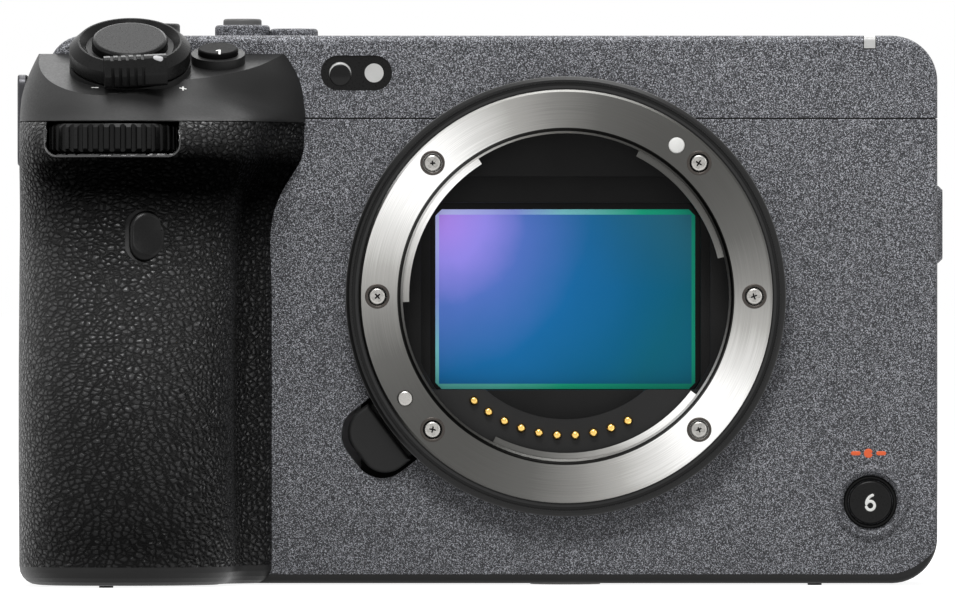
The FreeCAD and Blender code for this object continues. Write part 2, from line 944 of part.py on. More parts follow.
def case_screws():
    screws = []
    for x, y in base_screw_places():
        bottom = foot_height + 0.1
        screw = rod(case_screw_radius, (x, y, bottom), (x, y, foot_height + case_screw_head))
        screw = screw.fuse(rod(case_screw_radius / 2, (x, y, bottom), (x, y, chassis_floor_top)))
        for turn in (0, 90):
            slot = block(-case_screw_radius * 0.65, case_screw_radius * 0.65, -0.15, 0.15, -0.1, 0.35)
            slot.rotate(V(0, 0, 0), V(0, 0, 1), turn + 45)
            slot.translate(V(x, y, bottom))
            screw = screw.cut(slot)
        screws.append(screw)
    return screws


def tripod_collar_radius():
    return thread_radius + thread_collar


def battery_space(grow, bottom, top):
    left = battery_right - battery_width
    front = battery_rear - battery_length
    outline = corners_of(left - grow, battery_right + grow, front - grow, battery_rear + grow)
    return prism_xy(outline, battery_corner + grow, bottom, top)


def battery_box():
    play = battery_play
    outer = battery_space(play + battery_box_wall, grip_bottom, battery_top + battery_box_wall)
    return outer.cut(battery_space(play, 0, battery_top))


def battery_pack():
    bottom = battery_top - battery_height
    pack = battery_space(0, bottom, battery_top)
    pack = round_edges(pack, 0.8, on_plane("Z", bottom))
    contact_x = battery_right - battery_width / 2
    for i in range(4):
        y = battery_rear - 4.0 - 3.0 * i
        pack = pack.cut(block(contact_x - 2.5, contact_x + 2.5, y - 0.6, y + 0.6, battery_top - 1.0, far))
    return pack


def door_plate(grow, top):
    left = battery_right - battery_width
    front = battery_rear - battery_length
    outline = corners_of(left - grow, battery_right + grow, front - grow, battery_rear + grow)
    return prism_xy(outline, battery_corner - 1 + grow, -1 if top == far else foot_height, top)


def door_axis():
    """X and Z of the battery door's pin."""
    return battery_right + door_play + door_knuckle_radius, foot_height + door_knuckle_radius + 0.1


def hinge_pocket():
    x, z = door_axis()
    half = door_knuckle_length / 2 + clearance
    return block(battery_right, x + door_knuckle_radius + clearance,
                 door_hinge_y - half, door_hinge_y + half, -1, grip_bottom + 1)


def door_pin(grow):
    x, z = door_axis()
    half = door_knuckle_length / 2 + 1.5 + grow
    return rod(door_pin_radius + grow, (x, door_hinge_y - half, z), (x, door_hinge_y + half, z))


def battery_door():
    x, z = door_axis()
    half = door_knuckle_length / 2
    door = door_plate(0, foot_height + door_thickness)
    edge_room = math.hypot(door_knuckle_radius, z - foot_height) + 2 * clearance
    door = door.cut(rod(edge_room, (x, -far, z), (x, far, z)))
    arm = block(x - edge_room - 0.5, x, door_hinge_y - half, door_hinge_y + half,
                foot_height, foot_height + door_thickness)
    barrel = rod(door_knuckle_radius, (x, door_hinge_y - half, z), (x, door_hinge_y + half, z))
    door = door.fuse([arm, barrel, door_pin(0)]).removeSplitter()
    return door.cut(latch_room())


def latch_room():
    x = battery_right - battery_width + 5.0
    return block(x - latch_width / 2, x + latch_width / 2, latch_y - latch_length / 2 - slip,
                 latch_y + latch_length / 2 + latch_travel + slip, -1, foot_height + latch_depth)


def battery_door_latch():
    x = battery_right - battery_width + 5.0
    half = latch_width / 2 - slip
    latch = block(x - half, x + half, latch_y - latch_length / 2, latch_y + latch_length / 2,
                  foot_height, foot_height + latch_depth)
    for i in range(5):
        y = latch_y - 1.6 + 0.8 * i
        latch = latch.cut(block(x - half + 0.6, x + half - 0.6, y - 0.2, y + 0.2, 0, foot_height + 0.25))
    return latch


# Card slots

def card_slot_unit():
    left = body_left + rubber_thickness + grip_wall + clearance
    right = left + card_slot_depth
    rear = rear_inner
    front = rear - 2 * card_slot_thickness - 3 * card_unit_wall
    half = card_slot_height / 2 + card_unit_wall
    unit = block(left, right, front, rear, card_unit_z - half, card_unit_z + half)
    for i in range(2):
        low = front + card_unit_wall + i * (card_slot_thickness + card_unit_wall)
        unit = unit.cut(block(left - 1, right - card_unit_wall, low, low + card_slot_thickness,
                              card_unit_z - half + card_unit_wall, card_unit_z + half - card_unit_wall))
    corner = grip_form(rubber_thickness + grip_wall + clearance / 2)
    return unit.common(corner)


def card_door():
    """The door wraps round the rear corner; its front edge is rounded about its pin."""
    x, y = card_door_axis()
    door = card_door_form(0)
    door = door.cut(block(-far, far, -far, y, 0, far))
    barrel = rod(card_door_thickness / 2, (x, y, card_door_bottom), (x, y, card_door_top))
    return door.fuse(barrel).removeSplitter()


def card_door_axis():
    return body_left + card_door_thickness / 2, card_door_front + card_door_thickness / 2


# Lens mount

def mount_bezel():
    rim = tube(bezel_radius, ring_radius + slip, (0, mount_face + bezel_rim_drop, axis_height),
               (0, seat_face, axis_height))
    rim = bevel_edges(rim, 0.5, lambda e: on_plane("Y", mount_face + bezel_rim_drop)(e)
                      and e.BoundBox.XLength > 2 * bezel_radius - 0.5)
    groove_bottom = mount_face + bezel_rim_drop + bezel_groove_depth
    half = bezel_groove_width / 2
    rim = rim.cut(tube(bezel_groove_radius + half, bezel_groove_radius - half,
                       (0, mount_face, axis_height), (0, groove_bottom, axis_height)))
    floor = tube(bezel_radius, floor_radius, (0, seat_face, axis_height), (0, front_inner, axis_height))
    bezel = rim.fuse(floor).removeSplitter()
    for angle in mount_screw_angles:
        bezel = bezel.cut(rod(mount_screw_shank / 2 + slip, axis_point(mount_screw_radius, angle, -far),
                              axis_point(mount_screw_radius, angle, 0)))
    return bezel.cut(lock_pin_hole())


def lock_pin_hole():
    return rod(lock_pin_radius + slip, axis_point(lock_pin_place, lock_pin_angle, -far),
               axis_point(lock_pin_place, lock_pin_angle, 0))


def mount_ring():
    bore = throat_diameter / 2
    ring = tube(ring_radius, bore, (0, mount_face, axis_height), (0, seat_face, axis_height))
    ring = bevel_edges(ring, throat_chamfer, lambda e: on_plane("Y", mount_face)(e)
                       and e.BoundBox.XLength < 2 * bore + 0.5)
    ring = bevel_edges(ring, 0.3, lambda e: on_plane("Y", mount_face)(e)
                       and e.BoundBox.XLength > 2 * ring_radius - 0.5)
    tab_front = seat_face - tab_thickness
    ring = ring.cut(rod(floor_radius, (0, tab_front, axis_height), (0, seat_face + 1, axis_height)))
    for first, last in tab_spans:
        tab = ring_sector(floor_radius + 0.4, bore - tab_reach, first, last, tab_front, seat_face)
        ring = ring.fuse(tab)
    ring = ring.removeSplitter()
    for angle in mount_screw_angles:
        ring = ring.cut(rod(mount_screw_shank / 2 + slip, axis_point(mount_screw_radius, angle, -far),
                            axis_point(mount_screw_radius, angle, 0)))
        ring = ring.cut(rod(mount_screw_recess / 2, axis_point(mount_screw_radius, angle, -far),
                            axis_point(mount_screw_radius, angle, mount_face + mount_screw_sink)))
    ring = ring.cut(rod(index_dot_radius, axis_point(index_radius, index_angle, -far),
                        axis_point(index_radius, index_angle, mount_face + 0.25)))
    return ring.cut(lock_pin_hole())


def mount_screws():
    screws = []
    head = mount_screw_head / 2
    seat = mount_face + mount_screw_sink
    for i, angle in enumerate(mount_screw_angles):
        start = axis_point(mount_screw_radius, angle, seat - mount_screw_head_height)
        screw = rod(head, start, axis_point(mount_screw_radius, angle, seat))
        screw = round_edges(screw, mount_screw_head_round, on_plane("Y", seat - mount_screw_head_height))
        screw = screw.fuse(rod(mount_screw_shank / 2, axis_point(mount_screw_radius, angle, seat - 0.2),
                               axis_point(mount_screw_radius, angle, chassis_rear)))
        for turn in (0, 90):
            slot = block(-head * 0.62, head * 0.62, -0.1, 0.55, -mount_screw_slot / 2, mount_screw_slot / 2)
            slot.rotate(V(0, 0, 0), V(0, 1, 0), turn + 20 * i)
            slot.translate(V(*start))
            screw = screw.cut(slot)
        screws.append(screw.removeSplitter())
    return screws


def lens_release_button():
    front = front_face - release_stand_out
    inner = bezel_radius + clearance
    room = release_gap / 2
    cap = release_form(inner, release_reach - release_gap, release_width - 2 * room, release_corner - room,
                       front, front_inner + 0.4)
    cap = cap.cut(rod(bezel_radius + clearance, (0, -far, axis_height), (0, 0, axis_height)))
    cap = round_edges(cap, 0.6, on_plane("Y", front))
    tongue = release_form(baffle_radius + clearance, release_reach - release_gap - 1,
                          release_width - 4 * room, 1.5, front_inner + 0.2, front_inner + 1.6)
    screw_room = rod(mount_screw_shank / 2 + clearance,
                     axis_point(mount_screw_radius, release_screw_angle, -far),
                     axis_point(mount_screw_radius, release_screw_angle, 0))
    return cap.fuse(tongue.cut(screw_room)).removeSplitter()


def lens_lock_pin():
    tip = mount_face - lock_pin_stand_out
    pin = rod(lock_pin_radius, axis_point(lock_pin_place, lock_pin_angle, tip),
              axis_point(lock_pin_place, lock_pin_angle, front_inner + 0.2))
    return round_edges(pin, 0.3, on_plane("Y", tip))


def contact_angles():
    return [contact_first_angle + contact_step * i for i in range(contact_count)]


def contact_block():
    face = -contact_block_face
    form = tube(floor_radius, contact_block_inner, (0, face, axis_height), (0, -baffle_step, axis_height))
    top = axis_height - contact_block_top
    form = form.common(block(-far, far, -far, far, -far, top))
    for angle in contact_angles():
        form = form.cut(rod(contact_hole_radius, axis_point(contact_circle, angle, -far),
                            axis_point(contact_circle, angle, 0)))
    return form


def contact_pins():
    pins = []
    tip = -contact_block_face - contact_stand_out
    for angle in contact_angles():
        pin = rod(contact_radius, axis_point(contact_circle, angle, tip),
                  axis_point(contact_circle, angle, -baffle_step - contact_travel - 0.2))
        pins.append(round_edges(pin, contact_radius * 0.8, on_plane("Y", tip)))
    return pins


def throat_baffle():
    outer = baffle_radius
    rim = tube(outer, floor_radius + clearance, (0, front_inner, axis_height),
               (0, -baffle_step, axis_height))
    disc = rod(outer, (0, -baffle_step, axis_height), (0, -baffle_rear, axis_height))
    baffle = rim.fuse(disc).removeSplitter()
    half = baffle_opening_width / 2
    outline = corners_of(-half, half, axis_height - gate_height / 2, axis_height + baffle_opening_rise)
    opening = prism_xz(outline, 1.5, -far, far)
    opening = opening.common(rod(baffle_inner_radius, (0, -far, axis_height), (0, far, axis_height)))
    return baffle.cut(opening)


# Shutter

def shutter_frame():
    frame = block(-shutter_half_width, shutter_half_width, -shutter_front, -shutter_rear,
                  shutter_bottom, shutter_top)
    frame = frame.cut(block(-gate_width / 2, gate_width / 2, -far, far,
                            axis_height - gate_height / 2, axis_height + gate_height / 2))
    middle = -(shutter_front + shutter_rear) / 2
    half = blade_width / 2 + clearance
    bottom = axis_height - gate_height / 2 - blade_height - 0.6
    frame = frame.cut(block(-half, half, middle - blade_slot / 2, middle + blade_slot / 2,
                            bottom, axis_height + gate_height / 2 + 1.0))
    for x, z in shutter_boss_places():
        frame = frame.fuse(rod(2.0, (x, chassis_rear, z), (x, -shutter_front, z)))
    return frame.removeSplitter()


def shutter_boss_places():
    return [(-26.5, 60.5), (26.5, 60.5), (-20.0, 13.2), (20.0, 13.2)]


def shutter_blade(step):
    """A shutter blade, parked below the gate; step places the second one behind the first."""
    middle = -(shutter_front + shutter_rear) / 2
    y = middle - blade_slot / 2 + clearance + step * (blade_thickness + clearance)
    top = axis_height - gate_height / 2 - 0.2
    return block(-blade_width / 2, blade_width / 2, y, y + blade_thickness, top - blade_height, top)


# Stabiliser and sensor

def sensor_carriage():
    carriage = block(-carriage_half_width, carriage_half_width, -carriage_front, carriage_rear,
                     axis_height - carriage_half_height, axis_height + carriage_half_height)
    return carriage.cut(package_form(-far, sensor_package_depth - 0.2))


def package_form(front, rear):
    half_width = sensor_width / 2 + sensor_package_margin
    half_height = sensor_height / 2 + sensor_package_margin
    return block(-half_width, half_width, front, rear, axis_height - half_height, axis_height + half_height)


def image_sensor():
    package = package_form(-sensor_rim, sensor_package_depth - 0.2)
    half_width = sensor_width / 2 + 0.5
    half_height = sensor_height / 2 + 0.5
    return package.cut(block(-half_width, half_width, -far, 0,
                             axis_height - half_height, axis_height + half_height))


def sensor_glass():
    half_width = sensor_width / 2 + 1.4
    half_height = sensor_height / 2 + 1.4
    front = -sensor_rim - glass_thickness
    glass = block(-half_width, half_width, front, -sensor_rim,
                  axis_height - half_height, axis_height + half_height)
    return bevel_edges(glass, glass_chamfer,
                       lambda e: e.BoundBox.XLength < 1e-6 and e.BoundBox.ZLength < 1e-6)


def ball_places():
    return [(-ball_spread, axis_height + 12.0), (ball_spread, axis_height + 12.0), (0.0, axis_height - 18.3)]


def ball_y():
    return carriage_rear + ball_radius


def stabiliser_balls():
    return [Part.makeSphere(ball_radius, V(x, ball_y(), z)) for x, z in ball_places()]


def stabiliser_base():
    front = carriage_rear + 2 * ball_radius
    plate = block(-stabiliser_half_width, stabiliser_half_width, front, front + stabiliser_plate,
                  axis_height - stabiliser_half_height, axis_height + stabiliser_half_height)
    plate = plate.cut(block(-12.0, 12.0, -far, far, axis_height - 8.0, axis_height + 8.0))
    post_x = stabiliser_half_width - 2.0
    for x in (-post_x, post_x):
        for z in (axis_height - 12.9, axis_height + stabiliser_half_height - 2.0):
            plate = plate.fuse(rod(1.5, (x, chassis_rear, z), (x, front, z)))
    return plate.removeSplitter()


# Chassis, board and fan

def chassis():
    right = body_right - wall - clearance / 3
    left = -chassis_left
    top = body_height - wall
    front_wall = block(left, right, front_inner, chassis_rear, chassis_floor_bottom, top)
    front_wall = front_wall.cut(rod(baffle_radius + slip, (0, -far, axis_height), (0, far, axis_height)))
    front_wall = front_wall.cut(release_room(floor_radius))
    floor = block(left, right, front_inner, rear_inner, chassis_floor_bottom, chassis_floor_top)
    left_wall = block(left, left + chassis_side_wall, front_inner, rear_inner,
                      chassis_floor_bottom, top_parting)
    right_wall = block(right - chassis_side_wall, right, front_inner, jack_front - 2,
                       chassis_floor_bottom, top_parting)
    frame = front_wall.fuse([floor, left_wall, right_wall]).removeSplitter()
    frame = frame.common(body_form(wall)).cut(base_region())
    frame = frame.cut(block(-far, grip_hidden_right + slip, -far, far, 0, grip_bottom))
    frame = frame.cut(rod(tripod_collar_radius(), (0, 0, -1), (0, 0, far)))
    frame = frame.cut(rod(record_button_radius + 1.2, (record_x, -far, record_z), (record_x, 0, record_z)))
    lamp_room = block(lamp_x - lamp_width / 2 - 1.5, lamp_x + lamp_width / 2 + 1.5, -far, 0,
                      lamp_z - lamp_height / 2 - 1.5, far)
    frame = frame.cut(lamp_room)
    frame = frame.cut(block(tally_x - 2, tally_x + 2, -far, 0, body_height - tally_height - 2, far))
    frame = frame.cut(rod(side_insert_radius() + slip, (0, side_thread_y, side_thread_z),
                          (far, side_thread_y, side_thread_z)))
    frame = frame.cut(block(0, far, vent_front, vent_rear, vent_bottom,
                            vent_bottom + vent_count * vent_pitch))
    frame = frame.cut(rod(yoke_radius + slip, (control_x, rear_inner - yoke_room, joystick_z),
                          (control_x, far, joystick_z)))
    for x, y in base_screw_places():
        frame = frame.cut(rod(case_screw_radius / 2, (x, y, 0), (x, y, chassis_floor_top)))
    for angle in mount_screw_angles:
        frame = frame.cut(rod(mount_screw_shank / 2, axis_point(mount_screw_radius, angle, -far),
                              axis_point(mount_screw_radius, angle, 0)))
    return frame


def main_board():
    left = -chassis_left + chassis_side_wall
    right = body_right - wall - clearance
    board = block(left, right, board_front, board_front + board_thickness, board_bottom, board_top)
    rear = board_front + board_thickness
    processor = block(-8.0, 8.0, rear, rear + 1.6, 40.0, 56.0)
    memory = block(12.0, 22.0, rear, rear + 1.2, 42.0, 54.0)
    connectors = [block(x, x + 9.0, rear, rear + 1.4, 12.0, 15.0) for x in (-30.0, -15.0, 0.0, 15.0)]
    return [board, processor, memory] + connectors + jack_sockets()


def jack_sockets():
    """Socket bodies behind the jack covers, from the top: two round ones, a wide and a small flat one."""
    right = body_right - wall
    middle = (jack_front + jack_rear) / 2 - 1.0
    sockets = []
    for z in round_jack_heights:
        body = block(jack_left, right, middle - 4.0, board_front, z - 4.0, z + 4.0)
        sockets.append(body.cut(rod(round_jack_radius, (jack_left + 1, middle, z), (far, middle, z))))
    for z, height, width in ((wide_jack_z, wide_jack_height, wide_jack_width),
                             (small_jack_z, small_jack_height, small_jack_width)):
        body = block(jack_left, right, middle - 4.6, board_front, z - height / 2 - 1, z + height / 2 + 1)
        sockets.append(body.cut(block(jack_left + 1, far, middle - width / 2, middle + width / 2,
                                      z - height / 2, z + height / 2)))
    return sockets


def fan_rear():
    return board_front


def fan_front():
    return carriage_rear + 2 * ball_radius + stabiliser_plate


def fan_housing():
    front = fan_front()
    left = fan_centre_x - fan_radius - fan_wall - clearance
    right = fan_centre_x + fan_radius + fan_wall + clearance
    housing = block(left, right + fin_count * fin_pitch, front, fan_rear(),
                    fan_centre_z - fan_radius - fan_wall, fan_centre_z + fan_radius + fan_wall)
    inside_front = front + fan_wall
    inside_rear = fan_rear() - fan_wall
    housing = housing.cut(rod(fan_radius + clearance, (fan_centre_x, inside_front, fan_centre_z),
                              (fan_centre_x, inside_rear, fan_centre_z)))
    housing = housing.cut(rod(fan_radius * 0.6, (fan_centre_x, inside_front, fan_centre_z),
                              (fan_centre_x, far, fan_centre_z)))
    height = fan_radius - 1.0
    for i in range(fin_count):
        x = right - fan_wall + i * fin_pitch
        housing = housing.cut(block(x, x + fin_pitch - fin_thickness, inside_front, inside_rear,
                                    fan_centre_z - height, fan_centre_z + height))
    pin = rod(fan_pin_radius, (fan_centre_x, front, fan_centre_z),
              (fan_centre_x, inside_rear - 1, fan_centre_z))
    return housing.fuse(pin).removeSplitter()


def fan_rotor():
    front = fan_front() + fan_wall + clearance
    rear = fan_rear() - fan_wall - clearance
    rotor = rod(fan_hub_radius, (fan_centre_x, front, fan_centre_z), (fan_centre_x, rear, fan_centre_z))
    for i in range(fan_blade_count):
        blade = block(fan_hub_radius - 0.5, fan_radius, front + 0.3, rear - 0.3, -0.4, 0.4)
        blade.rotate(V(fan_hub_radius, 0, 0), V(0, 1, 0), 25)
        blade.rotate(V(0, 0, 0), V(0, 1, 0), 360.0 * i / fan_blade_count)
        blade.translate(V(fan_centre_x, 0, fan_centre_z))
        rotor = rotor.fuse(blade)
    rotor = rotor.removeSplitter()
    rotor = rotor.common(rod(fan_radius, (fan_centre_x, front, fan_centre_z),
                             (fan_centre_x, rear, fan_centre_z)))
    hole = rod(fan_pin_radius + slip, (fan_centre_x, 0, fan_centre_z), (fan_centre_x, far, fan_centre_z))
    return rotor.cut(hole)


# Right side

def port_panel():
    panel = rounded_body().cut(body_form(wall))
    panel = panel.common(block(body_right - corner_radius / 2, far, side_split, rear_split, 0, top_parting))
    panel = panel.cut(base_region())
    half_y, half_z = side_boss_half_width, side_boss_half_height
    boss_outline = corners_of(side_thread_y - half_y, side_thread_y + half_y,
                              side_thread_z - half_z, side_thread_z + half_z)
    outer = body_right + side_boss_stand_out
    boss = prism_yz(boss_outline, side_boss_corner, body_right - wall, outer)
    boss = bevel_edges(boss, 0.6, on_plane("X", outer))
    panel = panel.fuse(boss).removeSplitter()
    panel = panel.cut(rod(side_insert_radius(), (0, side_thread_y, side_thread_z),
                          (far, side_thread_y, side_thread_z)))
    for i in range(vent_count):
        z = vent_bottom + i * vent_pitch
        panel = panel.cut(block(body_right - 2 * wall, far, vent_front, vent_rear, z, z + vent_height))
    for bottom, top in ((upper_jack_bottom, upper_jack_top), (lower_jack_bottom, lower_jack_top)):
        depth = body_right - jack_cover_thickness
        panel = panel.cut(block(depth, far, jack_front, jack_rear, bottom, top))
        panel = panel.cut(block(body_right - corner_radius, far, jack_front + 2.4, jack_rear - 1.4,
                                bottom + 1.2, top - 1.2))
    band = block(-far, far, side_split, side_split + seam_gap, -far, far)
    return seam_groove(panel, band, body_form(seam_depth))


def jack_cover(bottom, top):
    """A cover over the sockets, with its pin along its front edge."""
    inner = body_right - jack_cover_thickness + slip
    cover = block(inner, body_right, jack_front + jack_gap, jack_rear - jack_gap,
                  bottom + jack_gap, top - jack_gap)
    cover = round_edges(cover, 0.3, on_plane("X", body_right))
    x, y = jack_axis()
    cover = cover.cut(block(inner - 1, far, y - far, y, bottom - 1, top + 1))
    barrel = rod(jack_pin_radius, (x, y, bottom + jack_gap), (x, y, top - jack_gap))
    return cover.fuse(barrel).removeSplitter()


def jack_axis():
    return body_right - jack_pin_radius, jack_front + jack_gap + jack_pin_radius


# Rear cover, monitor and rear controls

def rear_cover():
    shell = rounded_body().cut(body_form(wall))
    grip_wall_form = grip_form(0).cut(grip_form(wall))
    cover = shell.fuse(grip_wall_form.cut(block(core_left + 2, far, -far, rear_face - wall, -far, far)))
    cover = cover.common(block(-far, far, rear_split, far, 0, top_parting))
    cover = cover.cut(body_form(wall)).cut(grip_form(wall)).cut(base_region())
    cover = cover.cut(block(-far, grip_hidden_right, -far, far, 0, grip_bottom))
    cover = cover.cut(block(-far, core_left, -far, far, hood_seam, far))
    cover = cover.cut(card_door_form(clearance / 2))
    cover = cover.fuse(thumb_rest())
    for z in (hinge_bottom, hinge_top - knuckle_height):
        knuckle = rod(hinge_radius, (hinge_x, hinge_y, z), (hinge_x, hinge_y, z + knuckle_height))
        foot = block(hinge_x - hinge_radius, hinge_x + hinge_radius, rear_face - wall / 2, hinge_y,
                     z, z + knuckle_height)
        cover = cover.fuse([knuckle, foot])
    pin_reach = knuckle_height + hinge_pin_length
    for z, sign in ((hinge_bottom, 1), (hinge_top, -1)):
        cover = cover.fuse(rod(hinge_pin_radius, (hinge_x, hinge_y, z),
                               (hinge_x, hinge_y, z + sign * pin_reach)))
    boss = rod(wheel_inner - slip, (control_x, rear_inner, wheel_z),
               (control_x, rear_face + wheel_boss, wheel_z))
    cover = cover.fuse(boss).removeSplitter()
    cover = cover.cut(rod(wheel_button_radius + slip, (control_x, 0, wheel_z), (control_x, far, wheel_z)))
    cover = cover.cut(rod(joystick_socket_radius, (control_x, 0, joystick_z), (control_x, far, joystick_z)))
    trunnion_seat = joystick_socket_radius + 0.6
    cover = cover.cut(rod(trunnion_radius + slip, (control_x - trunnion_seat, pivot_y(), joystick_z),
                          (control_x + trunnion_seat, pivot_y(), joystick_z)))
    for x, z in small_button_places():
        cover = cover.cut(rod(small_button_radius + slip, (x, 0, z), (x, far, z)))
    band = block(core_left + wall, far, rear_split, rear_split + seam_gap, -far, far)
    return seam_groove(cover, band, body_form(seam_depth))


def small_button_places():
    return [(menu_x, menu_z), (play_x, play_z), (fn_x, fn_z)]


def thumb_rest():
    face = rear_face - wall / 2
    outline = [(face, thumb_rest_bottom), (rear_face + 5.0, thumb_rest_bottom + 1.5),
               (rear_face + thumb_rest_depth, thumb_rest_bottom + 11.0),
               (rear_face + thumb_rest_depth, thumb_rest_bottom + 18.0),
               (rear_face + 6.0, hood_seam - 0.5), (face, hood_seam - 0.2)]
    form = prism_yz(outline, [0, 4, 5, 5, 4, 0], thumb_rest_left, thumb_rest_right)
    return round_edges(form, 1.5, lambda e: (on_plane("X", thumb_rest_left)(e)
                                             or on_plane("X", thumb_rest_right)(e))
                       and e.BoundBox.YMax > rear_face + 0.5)


def small_button(x, z):
    outer = rear_face + small_button_stand_out
    button = rod(small_button_radius, (x, rear_inner - 0.6, z), (x, outer, z))
    button = round_edges(button, 0.4, on_plane("Y", outer))
    collar_face = rear_inner - clearance / 3
    collar = rod(small_button_radius + 0.7, (x, collar_face - 0.8, z), (x, collar_face, z))
    return button.fuse(collar).removeSplitter()


def control_wheel():
    front = rear_face + clearance / 2
    rear = front + wheel_stand_out
    wheel = tube(wheel_radius, wheel_inner, (control_x, front, wheel_z), (control_x, rear, wheel_z))
    wheel = round_edges(wheel, 0.6, on_plane("Y", rear))
    for i in range(wheel_rib_count):
        angle = 2 * math.pi * i / wheel_rib_count
        x = control_x + (wheel_radius + 0.15) * math.cos(angle)
        z = wheel_z + (wheel_radius + 0.15) * math.sin(angle)
        wheel = wheel.cut(rod(0.35, (x, 0, z), (x, far, z)))
    return wheel


def wheel_button():
    rear = rear_face + wheel_boss + wheel_button_stand_out
    button = rod(wheel_button_radius, (control_x, rear_inner + wheel_button_travel, wheel_z),
                 (control_x, rear, wheel_z))
    return round_edges(button, 0.5, on_plane("Y", rear))


def pivot_y():
    return (rear_inner + rear_face) / 2


def joystick_yoke():
    half = yoke_thickness / 2
    ring = tube(yoke_radius, yoke_inner, (control_x, pivot_y() - half, joystick_z),
                (control_x, pivot_y() + half, joystick_z))
    reach = joystick_socket_radius + 0.5
    for sign in (-1, 1):
        ring = ring.fuse(rod(trunnion_radius, (control_x + sign * (yoke_inner + 0.3), pivot_y(), joystick_z),
                             (control_x + sign * reach, pivot_y(), joystick_z)))
    ring = ring.removeSplitter()
    return ring.cut(rod(trunnion_radius + slip, (control_x, pivot_y(), joystick_z - yoke_radius + 0.2),
                        (control_x, pivot_y(), joystick_z + yoke_radius - 0.2)))


def joystick_cap():
    bottom = rear_face + joystick_gap
    top = bottom + joystick_height
    cap = rod(joystick_radius, (control_x, bottom, joystick_z), (control_x, top, joystick_z))
    cap = round_edges(cap, 1.4, on_plane("Y", top))
    cap = cap.fuse(rod(joystick_stem_radius, (control_x, pivot_y() - 1, joystick_z),
                       (control_x, bottom + 0.5, joystick_z)))
    reach = yoke_radius - 0.4
    cap = cap.fuse(rod(trunnion_radius, (control_x, pivot_y(), joystick_z - reach),
                       (control_x, pivot_y(), joystick_z + reach))).removeSplitter()
    for turn in (0, 60, 120):
        groove = block(-joystick_radius, joystick_radius, top - 0.3, top + 1, -0.25, 0.25)
        groove.rotate(V(0, 0, 0), V(0, 1, 0), turn)
        groove.translate(V(control_x, 0, joystick_z))
        cap = cap.cut(groove)
    return cap


def monitor_front():
    return rear_face + monitor_stand_off


def monitor_housing():
    front = monitor_front()
    rear = front + monitor_depth
    outline = corners_of(monitor_left, monitor_right, monitor_bottom, monitor_top)
    housing = prism_xz(outline, monitor_corner, front, rear)
    housing = round_edges(housing, 0.8, on_plane("Y", rear))
    housing = housing.cut(screen_form(slip, far))
    pin_start = monitor_right - arm_pin_length
    return housing.cut(rod(arm_pin_radius, (pin_start, hinge_y, arm_z()), (far, hinge_y, arm_z())))


def screen_form(grow, rear):
    middle_x = (monitor_left + monitor_right) / 2
    middle_z = (monitor_bottom + monitor_top) / 2
    outline = corners_of(middle_x - screen_width / 2 - grow, middle_x + screen_width / 2 + grow,
                         middle_z - screen_height / 2 - grow, middle_z + screen_height / 2 + grow)
    face = monitor_front() + monitor_depth - monitor_bezel
    return prism_xz(outline, 1.0 + grow, face, rear)


def monitor_screen():
    return screen_form(0, monitor_front() + monitor_depth - 0.2)


def arm_z():
    return (hinge_bottom + hinge_top) / 2


def monitor_arm():
    low = hinge_bottom + knuckle_height + clearance / 3
    high = hinge_top - knuckle_height - clearance / 3
    arm = rod(hinge_radius, (hinge_x, hinge_y, low), (hinge_x, hinge_y, high))
    arm = arm.fuse(block(monitor_right, hinge_x, hinge_y - arm_thickness / 2, hinge_y + arm_thickness / 2,
                         low, high))
    arm = arm.fuse(rod(arm_pin_radius, (monitor_right - arm_pin_length, hinge_y, arm_z()),
                       (hinge_x, hinge_y, arm_z()))).removeSplitter()
    for z, sign in ((low, 1), (high, -1)):
        end = z + sign * (hinge_pin_length + clearance)
        arm = arm.cut(rod(hinge_pin_radius + slip, (hinge_x, hinge_y, z), (hinge_x, hinge_y, end)))
    return arm


def rear_dial():
    y = rear_dial_y()
    dial = rod(rear_dial_radius, (rear_dial_x, y, rear_dial_bottom), (rear_dial_x, y, rear_dial_top))
    for z in (rear_dial_bottom, rear_dial_top):
        dial = bevel_edges(dial, 0.5, on_plane("Z", z))
    for i in range(dial_rib_count):
        angle = 2 * math.pi * i / dial_rib_count
        x = rear_dial_x + rear_dial_radius * math.cos(angle)
        rib_y = y + rear_dial_radius * math.sin(angle)
        dial = dial.cut(rod(0.35, (x, rib_y, rear_dial_bottom), (x, rib_y, rear_dial_top)))
    hole = rod(dial_pin_radius + slip, (rear_dial_x, y, 0), (rear_dial_x, y, far))
    return dial.cut(hole)


def rear_dial_pin():
    y = rear_dial_y()
    return rod(dial_pin_radius, (rear_dial_x, y, rear_dial_bottom - 1),
               (rear_dial_x, y, body_height - wall / 2))


# Grip top

def lever_frame():
    return tilted_frame(lever_x, lever_y, lever_z, lever_tilt)


def deck_button_z():
    return deck_height + deck_slope * (deck_button_y - front_face)


def deck_button_frame():
    return tilted_frame(deck_button_x, deck_button_y, deck_button_z(), deck_button_tilt)


